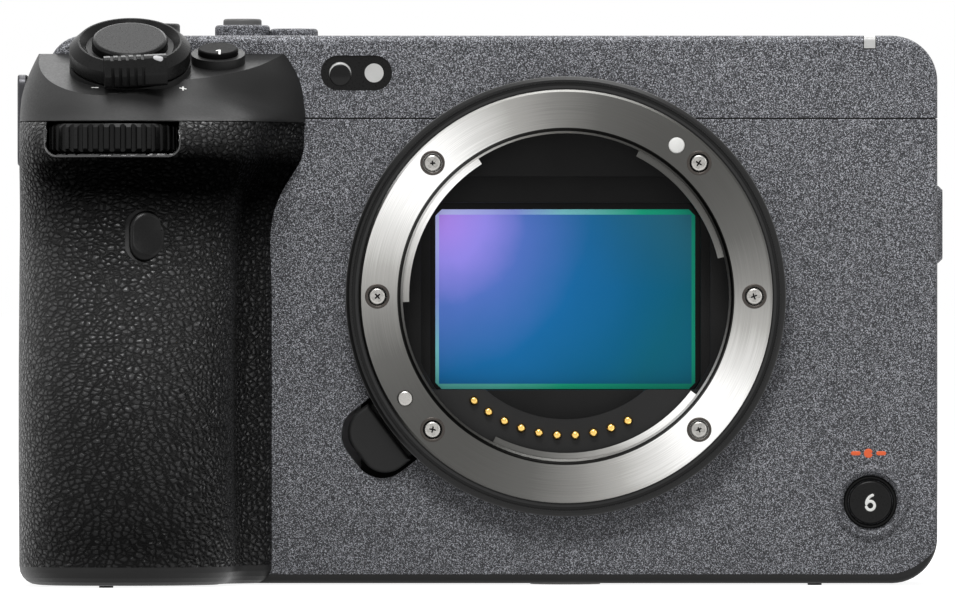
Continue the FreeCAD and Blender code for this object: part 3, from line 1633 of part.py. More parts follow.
def grip_top_cover():
    cover = deck_form(0).cut(deck_form(grip_wall))
    cover = cover.cut(block(-far, far, -far, far, 0, hood_seam))
    collar = placed(rod(lever_collar, (0, 0, -5.0), (0, 0, 0)), lever_frame())
    brow = Part.Face(grip_section(deck_stations[1][:5], 0)).extrude(V(0, 0, far))
    collar = collar.common(block(-far, far, -far, front_face, hood_seam + 2.5, far)).common(brow)
    sleeve = placed(rod(lever_sleeve, (0, 0, -5.0), (0, 0, lever_height - lever_dish_depth)), lever_frame())
    bezel = placed(rod(deck_bezel_radius, (0, 0, -3.0), (0, 0, deck_button_lift)), deck_button_frame())
    bezel = bezel.common(block(-far, far, -far, front_face, 0, far))
    cover = cover.fuse([collar, sleeve, bezel])
    cover = cover.cut(body_form(0))
    pin = rod(dial_pin_radius, (dial_x, dial_y(), dial_bottom - 0.4), (dial_x, dial_y(), hood_seam + 4.0))
    cover = cover.fuse(pin).removeSplitter()
    well = rod(shutter_button_radius + slip, (0, 0, lever_height - shutter_button_height - shutter_travel),
               (0, 0, 20.0))
    cover = cover.cut(placed(well, lever_frame()))
    floor = deck_button_lift - deck_button_depth - deck_button_travel - slip
    well = rod(deck_button_radius + slip, (0, 0, floor), (0, 0, 20.0))
    cover = cover.cut(placed(well, deck_button_frame()))
    band = block(-far, far, -far, far, hood_seam, hood_seam + seam_gap)
    cover = seam_groove(cover, band, grip_form(seam_depth).fuse(deck_form(seam_depth)))
    return cover.cut(lug_plate_form(slip))


def zoom_lever():
    low = lever_lift
    high = lever_height
    ring = rod(lever_radius, (0, 0, low), (0, 0, high))
    ring = bevel_edges(ring, lever_bevel, on_plane("Z", high))
    ring = round_edges(ring, 0.3, on_plane("Z", low))
    rim_radius = lever_radius - lever_bevel - lever_rim
    dish = Part.makeCone(lever_sleeve + slip, rim_radius, lever_dish_depth, V(0, 0, high - lever_dish_depth))
    half = paddle_width / 2
    paddle = [(-lever_sleeve - 0.8, high - 0.6), (-lever_radius + 1.0, high + 1.5),
              (-lever_radius - 0.4, high + 1.7), (-lever_radius - paddle_reach, high - 0.4),
              (-lever_radius - paddle_reach, low + 0.9), (-lever_radius + 1.0, low + 0.3)]
    paddle = prism_yz(paddle, [0, 0.8, 0.6, 0.8, 0.5, 0], -half, half)
    outer = -lever_radius - paddle_reach - 1
    for i in range(paddle_groove_count):
        left = paddle_first_groove + i * paddle_groove_pitch
        right = left + paddle_groove_width
        groove = block(left, right, outer, -lever_radius - paddle_reach + 0.6, 0, high + 3)
        crown = block(left, right, outer, -lever_sleeve, high + 1.35, high + 3)
        paddle = paddle.cut(groove).cut(crown)
    paddle.rotate(V(0, 0, 0), V(0, 0, 1), paddle_turn)
    lever = ring.cut(dish).fuse(paddle).removeSplitter()
    lever = lever.cut(rod(lever_sleeve + slip, (0, 0, -1), (0, 0, far)))
    return placed(lever, lever_frame())


def shutter_button():
    top = lever_height + shutter_button_stand_out
    button = rod(shutter_button_radius, (0, 0, lever_height - shutter_button_height), (0, 0, top))
    button = round_edges(button, 0.5, on_plane("Z", top))
    return placed(button, lever_frame())


def deck_button():
    top = deck_button_lift + deck_button_stand_out
    button = rod(deck_button_radius, (0, 0, deck_button_lift - deck_button_depth), (0, 0, top))
    button = round_edges(button, 0.3, on_plane("Z", top))
    return placed(button, deck_button_frame())


def front_dial():
    y = dial_y()
    dial = rod(dial_radius, (dial_x, y, dial_bottom), (dial_x, y, dial_top))
    for z in (dial_bottom, dial_top):
        dial = bevel_edges(dial, 0.5, on_plane("Z", z))
    for i in range(dial_rib_count):
        angle = 2 * math.pi * i / dial_rib_count
        x = dial_x + dial_radius * math.cos(angle)
        rib_y = y + dial_radius * math.sin(angle)
        dial = dial.cut(rod(dial_rib_radius, (x, rib_y, dial_bottom), (x, rib_y, dial_top)))
    return dial.cut(rod(dial_pin_radius + slip, (dial_x, y, 0), (dial_x, y, far)))


# Top, side and base fittings

def top_record_button():
    top = first_platform_top + top_record_stand_out
    button = rod(top_record_radius, (first_platform_x, platform_y, first_platform_top - 1.2),
                 (first_platform_x, platform_y, top))
    return round_edges(button, 0.4, on_plane("Z", top))


def front_record_button():
    front = front_face - record_button_stand_out
    button = rod(record_button_radius, (record_x, front, record_z), (record_x, front_inner + 0.9, record_z))
    button = round_edges(button, 0.4, on_plane("Y", front))
    flange = rod(record_button_radius + 0.8, (record_x, front_inner + 0.1, record_z),
                 (record_x, front_inner + 0.9, record_z))
    return button.fuse(flange).removeSplitter()


def power_switch():
    low = body_height + clearance / 3
    high = low + power_height
    switch = rod(power_radius, (power_x, power_y, low), (power_x, power_y, high))
    arm = block(power_x - power_lever_width / 2, power_x + power_lever_width / 2,
                power_y, power_y + power_lever_reach, low, high)
    switch = switch.fuse(arm).removeSplitter()
    switch = round_edges(switch, 0.4, on_plane("Z", high))
    stem = rod(power_pin_radius - slip, (power_x, power_y, body_height - wall - 1),
               (power_x, power_y, low + 0.5))
    return switch.fuse(stem).removeSplitter()


def side_insert_radius():
    return thread_radius + thread_collar / 2


def thread_inserts():
    inserts = []
    outer = thread_radius + thread_collar
    tripod = rod(outer, (0, 0, 0), (0, 0, thread_depth + 1.0))
    inserts.append(tripod.cut(rod(thread_radius, (0, 0, -1), (0, 0, thread_depth))))
    for x, y in top_thread_places:
        insert = rod(outer, (x, y, body_height - thread_depth - 1.0), (x, y, body_height))
        inserts.append(insert.cut(rod(thread_radius, (x, y, body_height - thread_depth), (x, y, far))))
    face = body_right + side_boss_stand_out
    side = rod(side_insert_radius(), (face - thread_depth - 1.0, side_thread_y, side_thread_z),
               (face, side_thread_y, side_thread_z))
    inserts.append(side.cut(rod(thread_radius, (face - thread_depth, side_thread_y, side_thread_z),
                                (far, side_thread_y, side_thread_z))))
    return inserts


def accessory_shoe():
    shoe = shoe_block()
    slot_top = body_height - shoe_lip
    front = rear_face - shoe_length
    half = shoe_width / 2
    shoe = shoe.cut(block(-half, half, front, far, slot_top - shoe_slot_height, slot_top))
    return shoe.cut(block(-shoe_throat / 2, shoe_throat / 2, front, far, slot_top - shoe_slot_height, far))


def grip_lug_plate():
    outer = body_left - 0.5
    plate = lug_plate_form(0)
    plate = round_edges(plate, 0.3, on_plane("X", outer))
    middle_y = (lug_plate_front + lug_plate_rear) / 2
    middle_z = (lug_plate_bottom + lug_plate_top) / 2
    return plate.cut(rod(lug_recess_radius, (outer - 1, middle_y, middle_z),
                         (outer + 0.4, middle_y, middle_z)))


def save_all():
    save("chassis", chassis())
    save("front_cover", front_cover())
    save("top_cover", top_cover().fuse(rear_dial_pin()).removeSplitter())
    save("rear_cover", rear_cover())
    save("base_plate", base_plate())
    save("port_panel", port_panel())
    save("grip_shell", grip_shell())
    save("grip_rubber", grip_rubber())
    save("grip_top_cover", grip_top_cover())
    save("grip_lug_plate", grip_lug_plate())
    save("mount_ring", mount_ring())
    save("mount_bezel", mount_bezel())
    save("mount_screws", *mount_screws())
    save("contact_block", contact_block())
    save("contact_pins", *contact_pins())
    save("throat_baffle", throat_baffle())
    save("lens_release_button", lens_release_button())
    save("lens_lock_pin", lens_lock_pin())
    save("stabiliser_base", stabiliser_base())
    save("stabiliser_balls", *stabiliser_balls())
    save("sensor_carriage", sensor_carriage())
    save("image_sensor", image_sensor())
    save("sensor_glass", sensor_glass())
    save("shutter_frame", shutter_frame())
    save("shutter_blade_lead", shutter_blade(0))
    save("shutter_blade_mid", shutter_blade(1))
    save("main_board", *main_board())
    save("fan_housing", fan_housing())
    save("fan_rotor", fan_rotor())
    save("card_slot_unit", card_slot_unit())
    save("card_door", card_door())
    save("battery_box", battery_box())
    save("battery_pack", battery_pack())
    save("battery_door", battery_door())
    save("battery_door_latch", battery_door_latch())
    save("accessory_shoe", accessory_shoe())
    save("thread_inserts", *thread_inserts())
    save("lamp_window", lamp_window())
    save("lamp_lenses", *lamp_lenses())
    save("case_screws", *case_screws())
    save("zoom_lever", zoom_lever())
    save("shutter_button", shutter_button())
    save("deck_button", deck_button())
    save("front_dial", front_dial())
    save("top_record_button", top_record_button())
    save("front_record_button", front_record_button())
    save("power_switch", power_switch())
    save("monitor_arm", monitor_arm())
    save("monitor_housing", monitor_housing())
    save("monitor_screen", monitor_screen())
    save("rear_dial", rear_dial())
    save("control_wheel", control_wheel())
    save("wheel_button", wheel_button())
    save("joystick_yoke", joystick_yoke())
    save("joystick_cap", joystick_cap())
    save("menu_button", small_button(menu_x, menu_z))
    save("play_button", small_button(play_x, play_z))
    save("fn_button", small_button(fn_x, fn_z))
    save("jack_cover_upper", jack_cover(upper_jack_bottom, upper_jack_top))
    save("jack_cover_lower", jack_cover(lower_jack_bottom, lower_jack_top))


save_all()
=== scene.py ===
import json
import math

import bmesh
import bpy
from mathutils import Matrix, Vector
from mathutils.bvhtree import BVHTree


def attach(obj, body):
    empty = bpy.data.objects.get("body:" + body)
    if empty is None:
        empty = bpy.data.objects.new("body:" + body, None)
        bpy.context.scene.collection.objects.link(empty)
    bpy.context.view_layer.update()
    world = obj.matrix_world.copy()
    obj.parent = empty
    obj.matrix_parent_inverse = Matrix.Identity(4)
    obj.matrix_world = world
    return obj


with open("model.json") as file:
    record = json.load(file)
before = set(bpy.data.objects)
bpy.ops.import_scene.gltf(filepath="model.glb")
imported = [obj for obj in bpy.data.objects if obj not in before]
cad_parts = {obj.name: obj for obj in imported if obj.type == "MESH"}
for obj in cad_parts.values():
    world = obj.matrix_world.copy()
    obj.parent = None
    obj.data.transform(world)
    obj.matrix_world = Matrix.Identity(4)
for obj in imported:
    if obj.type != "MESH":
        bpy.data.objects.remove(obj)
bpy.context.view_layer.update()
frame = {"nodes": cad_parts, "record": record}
nodes = frame["nodes"]
scene = bpy.context.scene

# One millimetre in metres; the sizes below are in mm
MM = 0.001
AXIS_Z = 40.9
FRONT_Y = -14.0
SEAM_Z = 66.07
DIAL_SHADE_Z = 56.5
SENSOR_Z = 40.5
SENSOR_HALF_WIDTH = 18.46
SENSOR_HALF_HEIGHT = 12.77
RING_STEP_RADIUS = 23.58
SECTOR_TURN = 139
BEZEL_INNER_RADIUS = 29.1
BEZEL_OUTER_RADIUS = 31.3
SCREW_CIRCLE_RADIUS = 26.63
SCREW_TURNS = (0, 45, 135, 180, 225, 315)
RECORD_AXIS = (43.1, 11.8)
MARK_HEIGHT = 0.03
STROKE_STEP = 0.09

# The photograph: its size, the lens axis and the base plane in pixels
PHOTO_WIDTH = 956
PHOTO_CENTRE = (478, 302)
PIXELS_PER_MM = 7.07
AXIS_PX = 565.7
BASE_PY = 585.5

# Metres: from the front face to the camera, and a plane behind the object
CAMERA_DISTANCE = 2.5
BACK_START_Y = 0.1


def photo_x(px):
    """A column of the photograph as X in the front plane."""
    return (px - AXIS_PX) / PIXELS_PER_MM * MM


def photo_z(py):
    """A row of the photograph as Z in the front plane."""
    return (BASE_PY - py) / PIXELS_PER_MM * MM


# Camera

camera_data = bpy.data.cameras.new("photo_camera")
camera = bpy.data.objects.new("photo_camera", camera_data)
scene.collection.objects.link(camera)
scene.camera = camera
camera.location = (photo_x(PHOTO_CENTRE[0]), FRONT_Y * MM - CAMERA_DISTANCE, photo_z(PHOTO_CENTRE[1]))
camera.rotation_euler = (math.radians(90), 0, 0)
camera_data.sensor_width = 36.0
camera_data.lens = camera_data.sensor_width * CAMERA_DISTANCE / (PHOTO_WIDTH / PIXELS_PER_MM * MM)
camera_data.clip_start = 0.1
camera_data.clip_end = 50.0
scene.view_settings.view_transform = "Standard"


# Shader helpers

class Shader:
    """A node tree for one material, written as short calls."""

    def __init__(self, name):
        self.material = bpy.data.materials.new(name)
        self.material.use_nodes = True
        self.tree = self.material.node_tree
        self.surface = self.tree.nodes["Principled BSDF"]
        self.coordinates = None

    def node(self, kind, **values):
        made = self.tree.nodes.new("ShaderNode" + kind)
        for key, value in values.items():
            setattr(made, key, value)
        return made

    def wire(self, source, target):
        self.tree.links.new(source, target)

    def position(self):
        if self.coordinates is None:
            self.coordinates = self.node("TexCoord")
        return self.coordinates.outputs["Object"]

    def set(self, **values):
        for key, value in values.items():
            socket = self.surface.inputs[key.replace("_", " ")]
            socket.default_value = value

    def axes(self, vector=None):
        """The three parts of a vector, by default of the place."""
        apart = self.node("SeparateXYZ")
        self.wire(vector or self.position(), apart.inputs[0])
        return apart.outputs

    def grey(self, value):
        made = self.node("CombineColor")
        for socket in made.inputs[:3]:
            self.wire(value, socket)
        return made.outputs[0]

    def noise(self, size, detail=2.0, roughness=0.5, vector=None):
        made = self.node("TexNoise")
        made.inputs["Scale"].default_value = 1.0 / (size * MM)
        made.inputs["Detail"].default_value = detail
        made.inputs["Roughness"].default_value = roughness
        self.wire(vector or self.position(), made.inputs["Vector"])
        return made.outputs["Fac"]

    def cells(self, size, feature="F1", output="Distance", vector=None, randomness=1.0):
        made = self.node("TexVoronoi", feature=feature)
        made.inputs["Scale"].default_value = 1.0 / (size * MM)
        made.inputs["Randomness"].default_value = randomness
        self.wire(vector or self.position(), made.inputs["Vector"])
        return made.outputs[output]

    def math(self, operation, first, second=None, third=None, clamp=False):
        """One sum on numbers or sockets."""
        made = self.node("Math", operation=operation, use_clamp=clamp)
        for i, value in enumerate((first, second, third)):
            if value is None:
                continue
            if isinstance(value, (int, float)):
                made.inputs[i].default_value = value
            else:
                self.wire(value, made.inputs[i])
        return made.outputs[0]

    def spread(self, value, low, high, new_low=0.0, new_high=1.0, smooth=False):
        """A value moved from one range to another and held inside it."""
        made = self.node("MapRange", clamp=True)
        if smooth:
            made.interpolation_type = "SMOOTHSTEP"
        for i, number in enumerate((low, high, new_low, new_high)):
            made.inputs[i + 1].default_value = number
        self.wire(value, made.inputs[0])
        return made.outputs[0]

    def ramp(self, value, stops, mode="LINEAR"):
        made = self.node("ValToRGB")
        made.color_ramp.interpolation = mode
        elements = made.color_ramp.elements
        while len(elements) < len(stops):
            elements.new(0.5)
        for element, (place, colour) in zip(elements, stops):
            element.position = place
            element.color = (*colour, 1.0)
        self.wire(value, made.inputs[0])
        return made.outputs[0]

    def mix(self, factor, first, second, blend="MIX"):
        made = self.node("Mix", data_type="RGBA", blend_type=blend)
        sockets = [s for s in made.inputs if s.enabled]
        for socket, value in zip(sockets, (factor, first, second)):
            if isinstance(value, (int, float)):
                socket.default_value = value
            elif isinstance(value, tuple):
                socket.default_value = (*value, 1.0)
            else:
                self.wire(value, socket)
        return [s for s in made.outputs if s.enabled][0]

    def bump(self, height, strength, distance):
        made = self.node("Bump")
        made.inputs["Strength"].default_value = strength
        made.inputs["Distance"].default_value = distance * MM
        self.wire(height, made.inputs["Height"])
        return made.outputs["Normal"]

    def finish(self, color=None, roughness=None, normal=None):
        if color is not None:
            self.put(color, "Base Color")
        if roughness is not None:
            self.put(roughness, "Roughness")
        if normal is not None:
            self.wire(normal, self.surface.inputs["Normal"])
        return self.material

    def put(self, value, name):
        socket = self.surface.inputs[name]
        if isinstance(value, (int, float)):
            socket.default_value = value
        elif isinstance(value, tuple):
            socket.default_value = (*value, 1.0)
        else:
            self.wire(value, socket)


def grey_of(level):
    return (level, level, level)


# Materials

def speckled_paint(name):
    """Satin grey paint with fine light and dark grains."""
    s = Shader(name)
    grain = s.cells(0.105, output="Color")
    tone = s.node("SeparateColor")
    s.wire(grain, tone.inputs[0])
    fine = s.noise(0.085, 1.0, 0.4)
    mixed = s.math("ADD", s.math("MULTIPLY", tone.outputs[0], 0.55), s.math("MULTIPLY", fine, 0.45))
    color = s.ramp(mixed, [(0.2, (0.007, 0.007, 0.008)), (0.42, (0.042, 0.043, 0.048)),
                           (0.60, (0.098, 0.100, 0.110)), (0.76, (0.50, 0.51, 0.55))])
    broad = s.spread(s.noise(30.0, 1.0), 0.3, 0.7, 0.94, 1.05)
    height = s.axes()["Z"]
    # Painted shade and highlight at the cover seam: a dark line along it and a painted glint just below it.
    seam_shade = s.math("COMPARE", height, SEAM_Z * MM, 0.12 * MM)
    glint = s.math("COMPARE", height, (SEAM_Z - 0.2) * MM, 0.08 * MM)
    seam_shade_and_glint = s.math("ADD", s.math("MULTIPLY", seam_shade, -0.95), s.math("MULTIPLY", glint, 0.4))
    # Painted shade: the paint darker towards the bottom, as under lamps from above.
    low_shade = s.spread(height, 0.0, 66.0 * MM, 0.80, 1.0)
    broad = s.math("MULTIPLY", broad, s.math("ADD", seam_shade_and_glint, low_shade))
    color = s.mix(1.0, color, s.grey(broad), "MULTIPLY")
    s.set(Metallic=0.1, Specular_IOR_Level=0.25)
    return s.finish(color, 0.5, s.bump(mixed, 0.4, 0.03))


def moulded(name, level, rough, grain=0.35, strength=0.25, specular=0.2):
    """Black moulded plastic with a fine spark-eroded grain."""
    s = Shader(name)
    pores = s.noise(grain, 3.0, 0.6)
    wide = s.noise(9.0, 2.0)
    color = s.ramp(wide, [(0.3, grey_of(level * 0.8)), (0.7, grey_of(level * 1.2))])
    roughness = s.spread(pores, 0.3, 0.7, rough - 0.06, rough + 0.06)
    s.set(Specular_IOR_Level=specular)
    return s.finish(color, roughness, s.bump(pores, strength, 0.03))


def leatherette(name):
    """Pebbled black rubber: raised grains between fine creases."""
    s = Shader(name)
    warp = s.node("TexNoise")
    warp.inputs["Scale"].default_value = 1.0 / (2.4 * MM)
    warp.inputs["Detail"].default_value = 2.0
    s.wire(s.position(), warp.inputs["Vector"])
    offset = s.node("VectorMath", operation="MULTIPLY_ADD")
    s.wire(warp.outputs["Color"], offset.inputs[0])
    offset.inputs[1].default_value = (0.9 * MM,) * 3
    s.wire(s.position(), offset.inputs[2])
    flat = s.node("VectorMath", operation="MULTIPLY")
    s.wire(offset.outputs[0], flat.inputs[0])
    flat.inputs[1].default_value = (0.85, 0.85, 1.3)
    grains = {"size": 0.85, "vector": flat.outputs[0], "randomness": 0.95}
    crease = s.spread(s.cells(feature="DISTANCE_TO_EDGE", **grains), 0.0, 0.28, smooth=True)
    dome = s.spread(s.cells(**grains), 0.0, 0.8, 1.0, 0.0)
    height = s.math("ADD", s.math("MULTIPLY", crease, 0.6), s.math("MULTIPLY", dome, 0.4))
    color = s.ramp(height, [(0.10, grey_of(0.003)), (0.5, grey_of(0.007)), (1.0, (0.013, 0.013, 0.014))])
    # Painted shade: colour and gloss lowered where the surface faces down, in the creases between grains, and
    # round the height of the dial's overhang.
    upward = s.axes(s.node("NewGeometry").outputs["Normal"])["Z"]
    painted_shade = s.spread(upward, -0.40, 0.32, 0.06, 1.0)
    painted_shade = s.math("MULTIPLY", painted_shade, s.spread(height, 0.15, 0.75, 0.45, 1.05))
    from_dial = s.math("ABSOLUTE", s.math("SUBTRACT", s.axes()["Z"], DIAL_SHADE_Z * MM))
    painted_shade = s.math("MULTIPLY", painted_shade, s.spread(from_dial, 3.0 * MM, 15.0 * MM, 0.5, 1.0, smooth=True))
    color = s.mix(1.0, color, s.grey(painted_shade), "MULTIPLY")
    s.put(s.math("MULTIPLY", painted_shade, 0.55), "Specular IOR Level")
    roughness = s.spread(height, 0.2, 1.0, 0.46, 0.32)
    return s.finish(color, roughness, s.bump(height, 1.0, 0.55))


def polar(s):
    """Radius in metres and angle about the lens axis."""
    place = s.axes()
    x, z = place["X"], s.math("SUBTRACT", place["Z"], AXIS_Z * MM)
    radius = s.math("SQRT", s.math("ADD", s.math("MULTIPLY", x, x), s.math("MULTIPLY", z, z)))
    return radius, s.math("ARCTAN2", z, x)


def brushed_ring(name):
    """Steel turned on a lathe: fine circles, with the light in opposite sectors."""
    s = Shader(name)
    radius, angle = polar(s)
    lines = s.node("TexNoise", noise_dimensions="2D")
    lines.inputs["Scale"].default_value = 1.0
    lines.inputs["Detail"].default_value = 4.0
    both = s.node("CombineXYZ")
    s.wire(s.math("MULTIPLY", radius, 9000.0), both.inputs[0])
    s.wire(s.math("MULTIPLY", angle, 2.2), both.inputs[1])
    s.wire(both.outputs[0], lines.inputs["Vector"])
    # Painted reflection: the colour runs from dark to near white with the angle, brightest in two opposite
    # sectors.
    sector = s.math("COSINE", s.math("MULTIPLY", s.math("SUBTRACT", angle, math.radians(SECTOR_TURN)), 2.0))
    light = s.spread(sector, -1.0, 1.0)
    wobble = s.math("MULTIPLY", s.math("SUBTRACT", lines.outputs["Fac"], 0.5), 0.16)
    tone = s.math("ADD", light, wobble, clamp=True)
    color = s.ramp(tone, [(0.0, (0.075, 0.074, 0.070)), (0.25, (0.105, 0.104, 0.099)),
                          (0.5, (0.20, 0.197, 0.188)), (0.72, (0.34, 0.335, 0.32)),
                          (0.9, (0.62, 0.615, 0.60)), (1.0, (0.92, 0.915, 0.90))])
    # Painted shadow: the colour near black in a thin ring at the step.
    step = s.spread(s.math("COMPARE", radius, RING_STEP_RADIUS * MM, 0.24 * MM), 0.0, 1.0, 1.0, 0.06)
    color = s.mix(1.0, color, s.grey(step), "MULTIPLY")
    s.set(Metallic=1.0, Anisotropic=0.5)
    tangent = s.node("Tangent", direction_type="RADIAL", axis="Y")
    s.wire(tangent.outputs[0], s.surface.inputs["Tangent"])
    return s.finish(color, 0.32, s.bump(lines.outputs["Fac"], 0.1, 0.02))


def turned_black(name):
    """Black anodised metal with the fine circles of a lathe."""
    s = Shader(name)
    radius, angle = polar(s)
    lines = s.node("TexNoise", noise_dimensions="1D")
    lines.inputs["Scale"].default_value = 1.0
    lines.inputs["Detail"].default_value = 3.0
    s.wire(s.math("MULTIPLY", radius, 5000.0), lines.inputs["W"])
    # Rings of tone by radius, near black to dark grey; the bright outermost ring is a painted highlight on
    # the rim's edge.
    steps = s.ramp(s.spread(radius, BEZEL_INNER_RADIUS * MM, BEZEL_OUTER_RADIUS * MM), [
        (0.0, grey_of(0.001)), (0.14, grey_of(0.022)), (0.30, grey_of(0.001)), (0.40, grey_of(0.012)),
        (0.80, grey_of(0.020)), (0.88, grey_of(0.11))], "CONSTANT")
    color = s.mix(1.0, steps, s.grey(s.spread(lines.outputs["Fac"], 0.3, 0.7, 0.8, 1.2)), "MULTIPLY")
    s.set(Specular_IOR_Level=0.2)
    return s.finish(color, 0.3, s.bump(lines.outputs["Fac"], 0.25, 0.02))


def satin_metal(name, color, rough, grain=0.4, strength=0.1, metallic=1.0, specular=0.5):
    """Blasted or drawn metal with a faint grain."""
    s = Shader(name)
    grains = s.noise(grain, 3.0)
    wide = s.noise(6.0, 2.0)
    dark = tuple(c * 0.85 for c in color)
    tone = s.ramp(wide, [(0.3, dark), (0.7, color)])
    s.set(Metallic=metallic, Specular_IOR_Level=specular)
    roughness = s.spread(grains, 0.3, 0.7, rough - 0.07, rough + 0.07)
    return s.finish(tone, roughness, s.bump(grains, strength, 0.02))


def sensor_filter(name):
    """Coated sensor glass: violet at the upper left through blue to teal, with green and pale edges."""
    s = Shader(name)
    at = s.axes()
    across = s.spread(at["X"], -SENSOR_HALF_WIDTH * MM, SENSOR_HALF_WIDTH * MM)
    up = s.spread(at["Z"], (SENSOR_Z - SENSOR_HALF_HEIGHT) * MM, (SENSOR_Z + SENSOR_HALF_HEIGHT) * MM)
    down = s.math("SUBTRACT", 1.0, up)
    far_off = s.math("SQRT", s.math("ADD", s.math("MULTIPLY", across, across),
                                    s.math("MULTIPLY", s.math("MULTIPLY", down, down), 0.42)))
    wobble = s.math("MULTIPLY", s.math("SUBTRACT", s.noise(9.0, 3.0), 0.5), 0.10)
    place = s.math("ADD", far_off, wobble)
    color = s.ramp(place, [(0.0, (0.47, 0.26, 0.90)), (0.20, (0.28, 0.24, 0.78)),
                           (0.36, (0.075, 0.155, 0.50)), (0.60, (0.005, 0.120, 0.32)),
                           (0.85, (0.001, 0.10, 0.21)), (1.0, (0.001, 0.10, 0.16))])
    greyer = s.math("MULTIPLY", s.spread(across, 0.45, 1.0), s.spread(up, 0.55, 1.0))
    color = s.mix(s.math("MULTIPLY", greyer, 0.8), color, (0.022, 0.12, 0.17))
    side = s.math("SUBTRACT", SENSOR_HALF_WIDTH * MM, s.math("ABSOLUTE", at["X"]))
    height = s.math("ABSOLUTE", s.math("SUBTRACT", at["Z"], SENSOR_Z * MM))
    level = s.math("SUBTRACT", SENSOR_HALF_HEIGHT * MM, height)
    edge = s.math("MINIMUM", side, s.math("SUBTRACT", level, 0.24 * MM))
    strip = s.spread(edge, 0.48 * MM, 0.54 * MM, 1.0, 0.0)
    pale = s.ramp(s.spread(place, 0.0, 1.0), [(0.0, (0.50, 0.52, 0.92)), (0.32, (0.22, 0.27, 0.66)),
                                              (0.5, (0.16, 0.45, 0.50)), (0.8, (0.006, 0.30, 0.17)),
                                              (1.0, (0.003, 0.22, 0.14))])
    color = s.mix(strip, color, pale)
    corner = s.math("SUBTRACT", s.math("ADD", side, level), 0.9 * MM)
    inside = s.math("MINIMUM", s.math("MINIMUM", side, level), corner)
    color = s.mix(s.math("GREATER_THAN", inside, 0.0), (0.003, 0.003, 0.003), color)
    s.set(Metallic=0.85, Coat_Weight=0.1, Coat_Roughness=0.05, Specular_IOR_Level=0.2)
    return s.finish(color, 0.3)


def circuit(name):
    """Green board with pale tracks between its cells."""
    s = Shader(name)
    tracks = s.cells(1.4, "DISTANCE_TO_EDGE")
    lines = s.spread(tracks, 0.02, 0.05)
    color = s.mix(lines, (0.05, 0.28, 0.12), (0.012, 0.09, 0.04))
    return s.finish(color, 0.4, s.bump(lines, 0.3, 0.05))


def plain_paint(name, color, rough):
    """Matte paint for the lamp lenses and the marks."""
    s = Shader(name)
    wide = s.noise(1.5, 2.0)
    tone = s.ramp(wide, [(0.3, tuple(c * 0.93 for c in color)), (0.7, color)])
    return s.finish(tone, rough)


materials = {
    "grey_paint": speckled_paint("grey_paint_look"),
    "black_plastic": moulded("black_plastic_look", 0.012, 0.45),
    "grip_leather": leatherette("grip_leather_look"),
    "black_rubber": moulded("black_rubber_look", 0.010, 0.7, 0.25, 0.3, 0.15),
    "gloss_black": moulded("gloss_black_look", 0.006, 0.3, 0.3, 0.05, 0.13),
    "matte_black": moulded("matte_black_look", 0.010, 0.55, specular=0.12),
    "black_metal": satin_metal("black_metal_look", (0.010, 0.010, 0.011), 0.3, metallic=0.0, specular=0.25),
    "dark_metal": satin_metal("dark_metal_look", (0.06, 0.06, 0.065), 0.4, metallic=0.7),
    "cast_alloy": satin_metal("cast_alloy_look", (0.45, 0.45, 0.47), 0.5, 0.6, 0.3),
    "brushed_steel": brushed_ring("brushed_steel_look"),
    "screw_steel": satin_metal("screw_steel_look", (0.42, 0.41, 0.39), 0.3),
    "screw_black": satin_metal("screw_black_look", (0.03, 0.03, 0.032), 0.35, metallic=0.6),
    "gold": satin_metal("gold_look", (0.85, 0.55, 0.16), 0.22),
    "sensor_cell": moulded("sensor_cell_look", 0.004, 0.5),
    "filter_glass": sensor_filter("filter_glass_look"),
    "circuit_green": circuit("circuit_green_look"),
    "battery_grey": moulded("battery_grey_look", 0.06, 0.5),
    "lamp_white": plain_paint("lamp_white_look", (0.55, 0.55, 0.54), 0.3),
    "grey_button": moulded("grey_button_look", 0.12, 0.45),
    "screen_glass": moulded("screen_glass_look", 0.004, 0.06, 0.5, 0.0, 0.5),
}

own_looks = {
    "deck_button": moulded("deck_button_look", 0.004, 0.5, specular=0.03),
    "mount_bezel": turned_black("mount_bezel_look"),
    "thread_inserts": satin_metal("thread_inserts_look", (0.16, 0.155, 0.15), 0.42),
}

slot_of = {row["node"]: row["material_slot"] for row in frame["record"]["subparts"]}
for name, item in nodes.items():
    item.data.materials.clear()
    item.data.materials.append(own_looks.get(name) or materials[slot_of[name]])

# Pieces laid on the solids

trees = {}


def surface(node):
    """A search tree over one node's mesh, in the row frame."""
    if node not in trees:
        item = nodes[node]
        shape = bmesh.new()
        shape.from_mesh(item.data)
        shape.transform(item.matrix_world)
        trees[node] = BVHTree.FromBMesh(shape)
        shape.free()
    return trees[node]


def seen_at(node, px, py):
    """Where the photograph's point px, py lies on a node, and the surface's direction there."""
    target = Vector((photo_x(px), FRONT_Y * MM, photo_z(py)))
    toward = (target - camera.location).normalized()
    place, normal, _, _ = surface(node).ray_cast(camera.location, toward)
    return place, normal


def behind(node, x, z):
    """A point of the back, in mm, and the surface's direction there."""
    place, normal, _, _ = surface(node).ray_cast(Vector((x * MM, BACK_START_Y, z * MM)), Vector((0, -1, 0)))
    return place, normal


def nearest_on(node, point):
    """The place on a node nearest to a point, and the surface's direction there."""
    place, normal, _, _ = surface(node).find_nearest(point)
    return place, normal


def add_mesh(name, points, faces, look, body, slot_name):
    """A smooth new piece that rides a body of the frame."""
    mesh = bpy.data.meshes.new(name)
    mesh.from_pydata([tuple(p) for p in points], [], faces)
    mesh.validate()
    shape = bmesh.new()
    shape.from_mesh(mesh)
    bmesh.ops.recalc_face_normals(shape, faces=shape.faces)
    shape.to_mesh(mesh)
    shape.free()
    mesh.polygons.foreach_set("use_smooth", [True] * len(mesh.polygons))
    mesh.materials.append(look)
    piece = bpy.data.objects.new(name, mesh)
    scene.collection.objects.link(piece)
    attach(piece, body)
    return piece


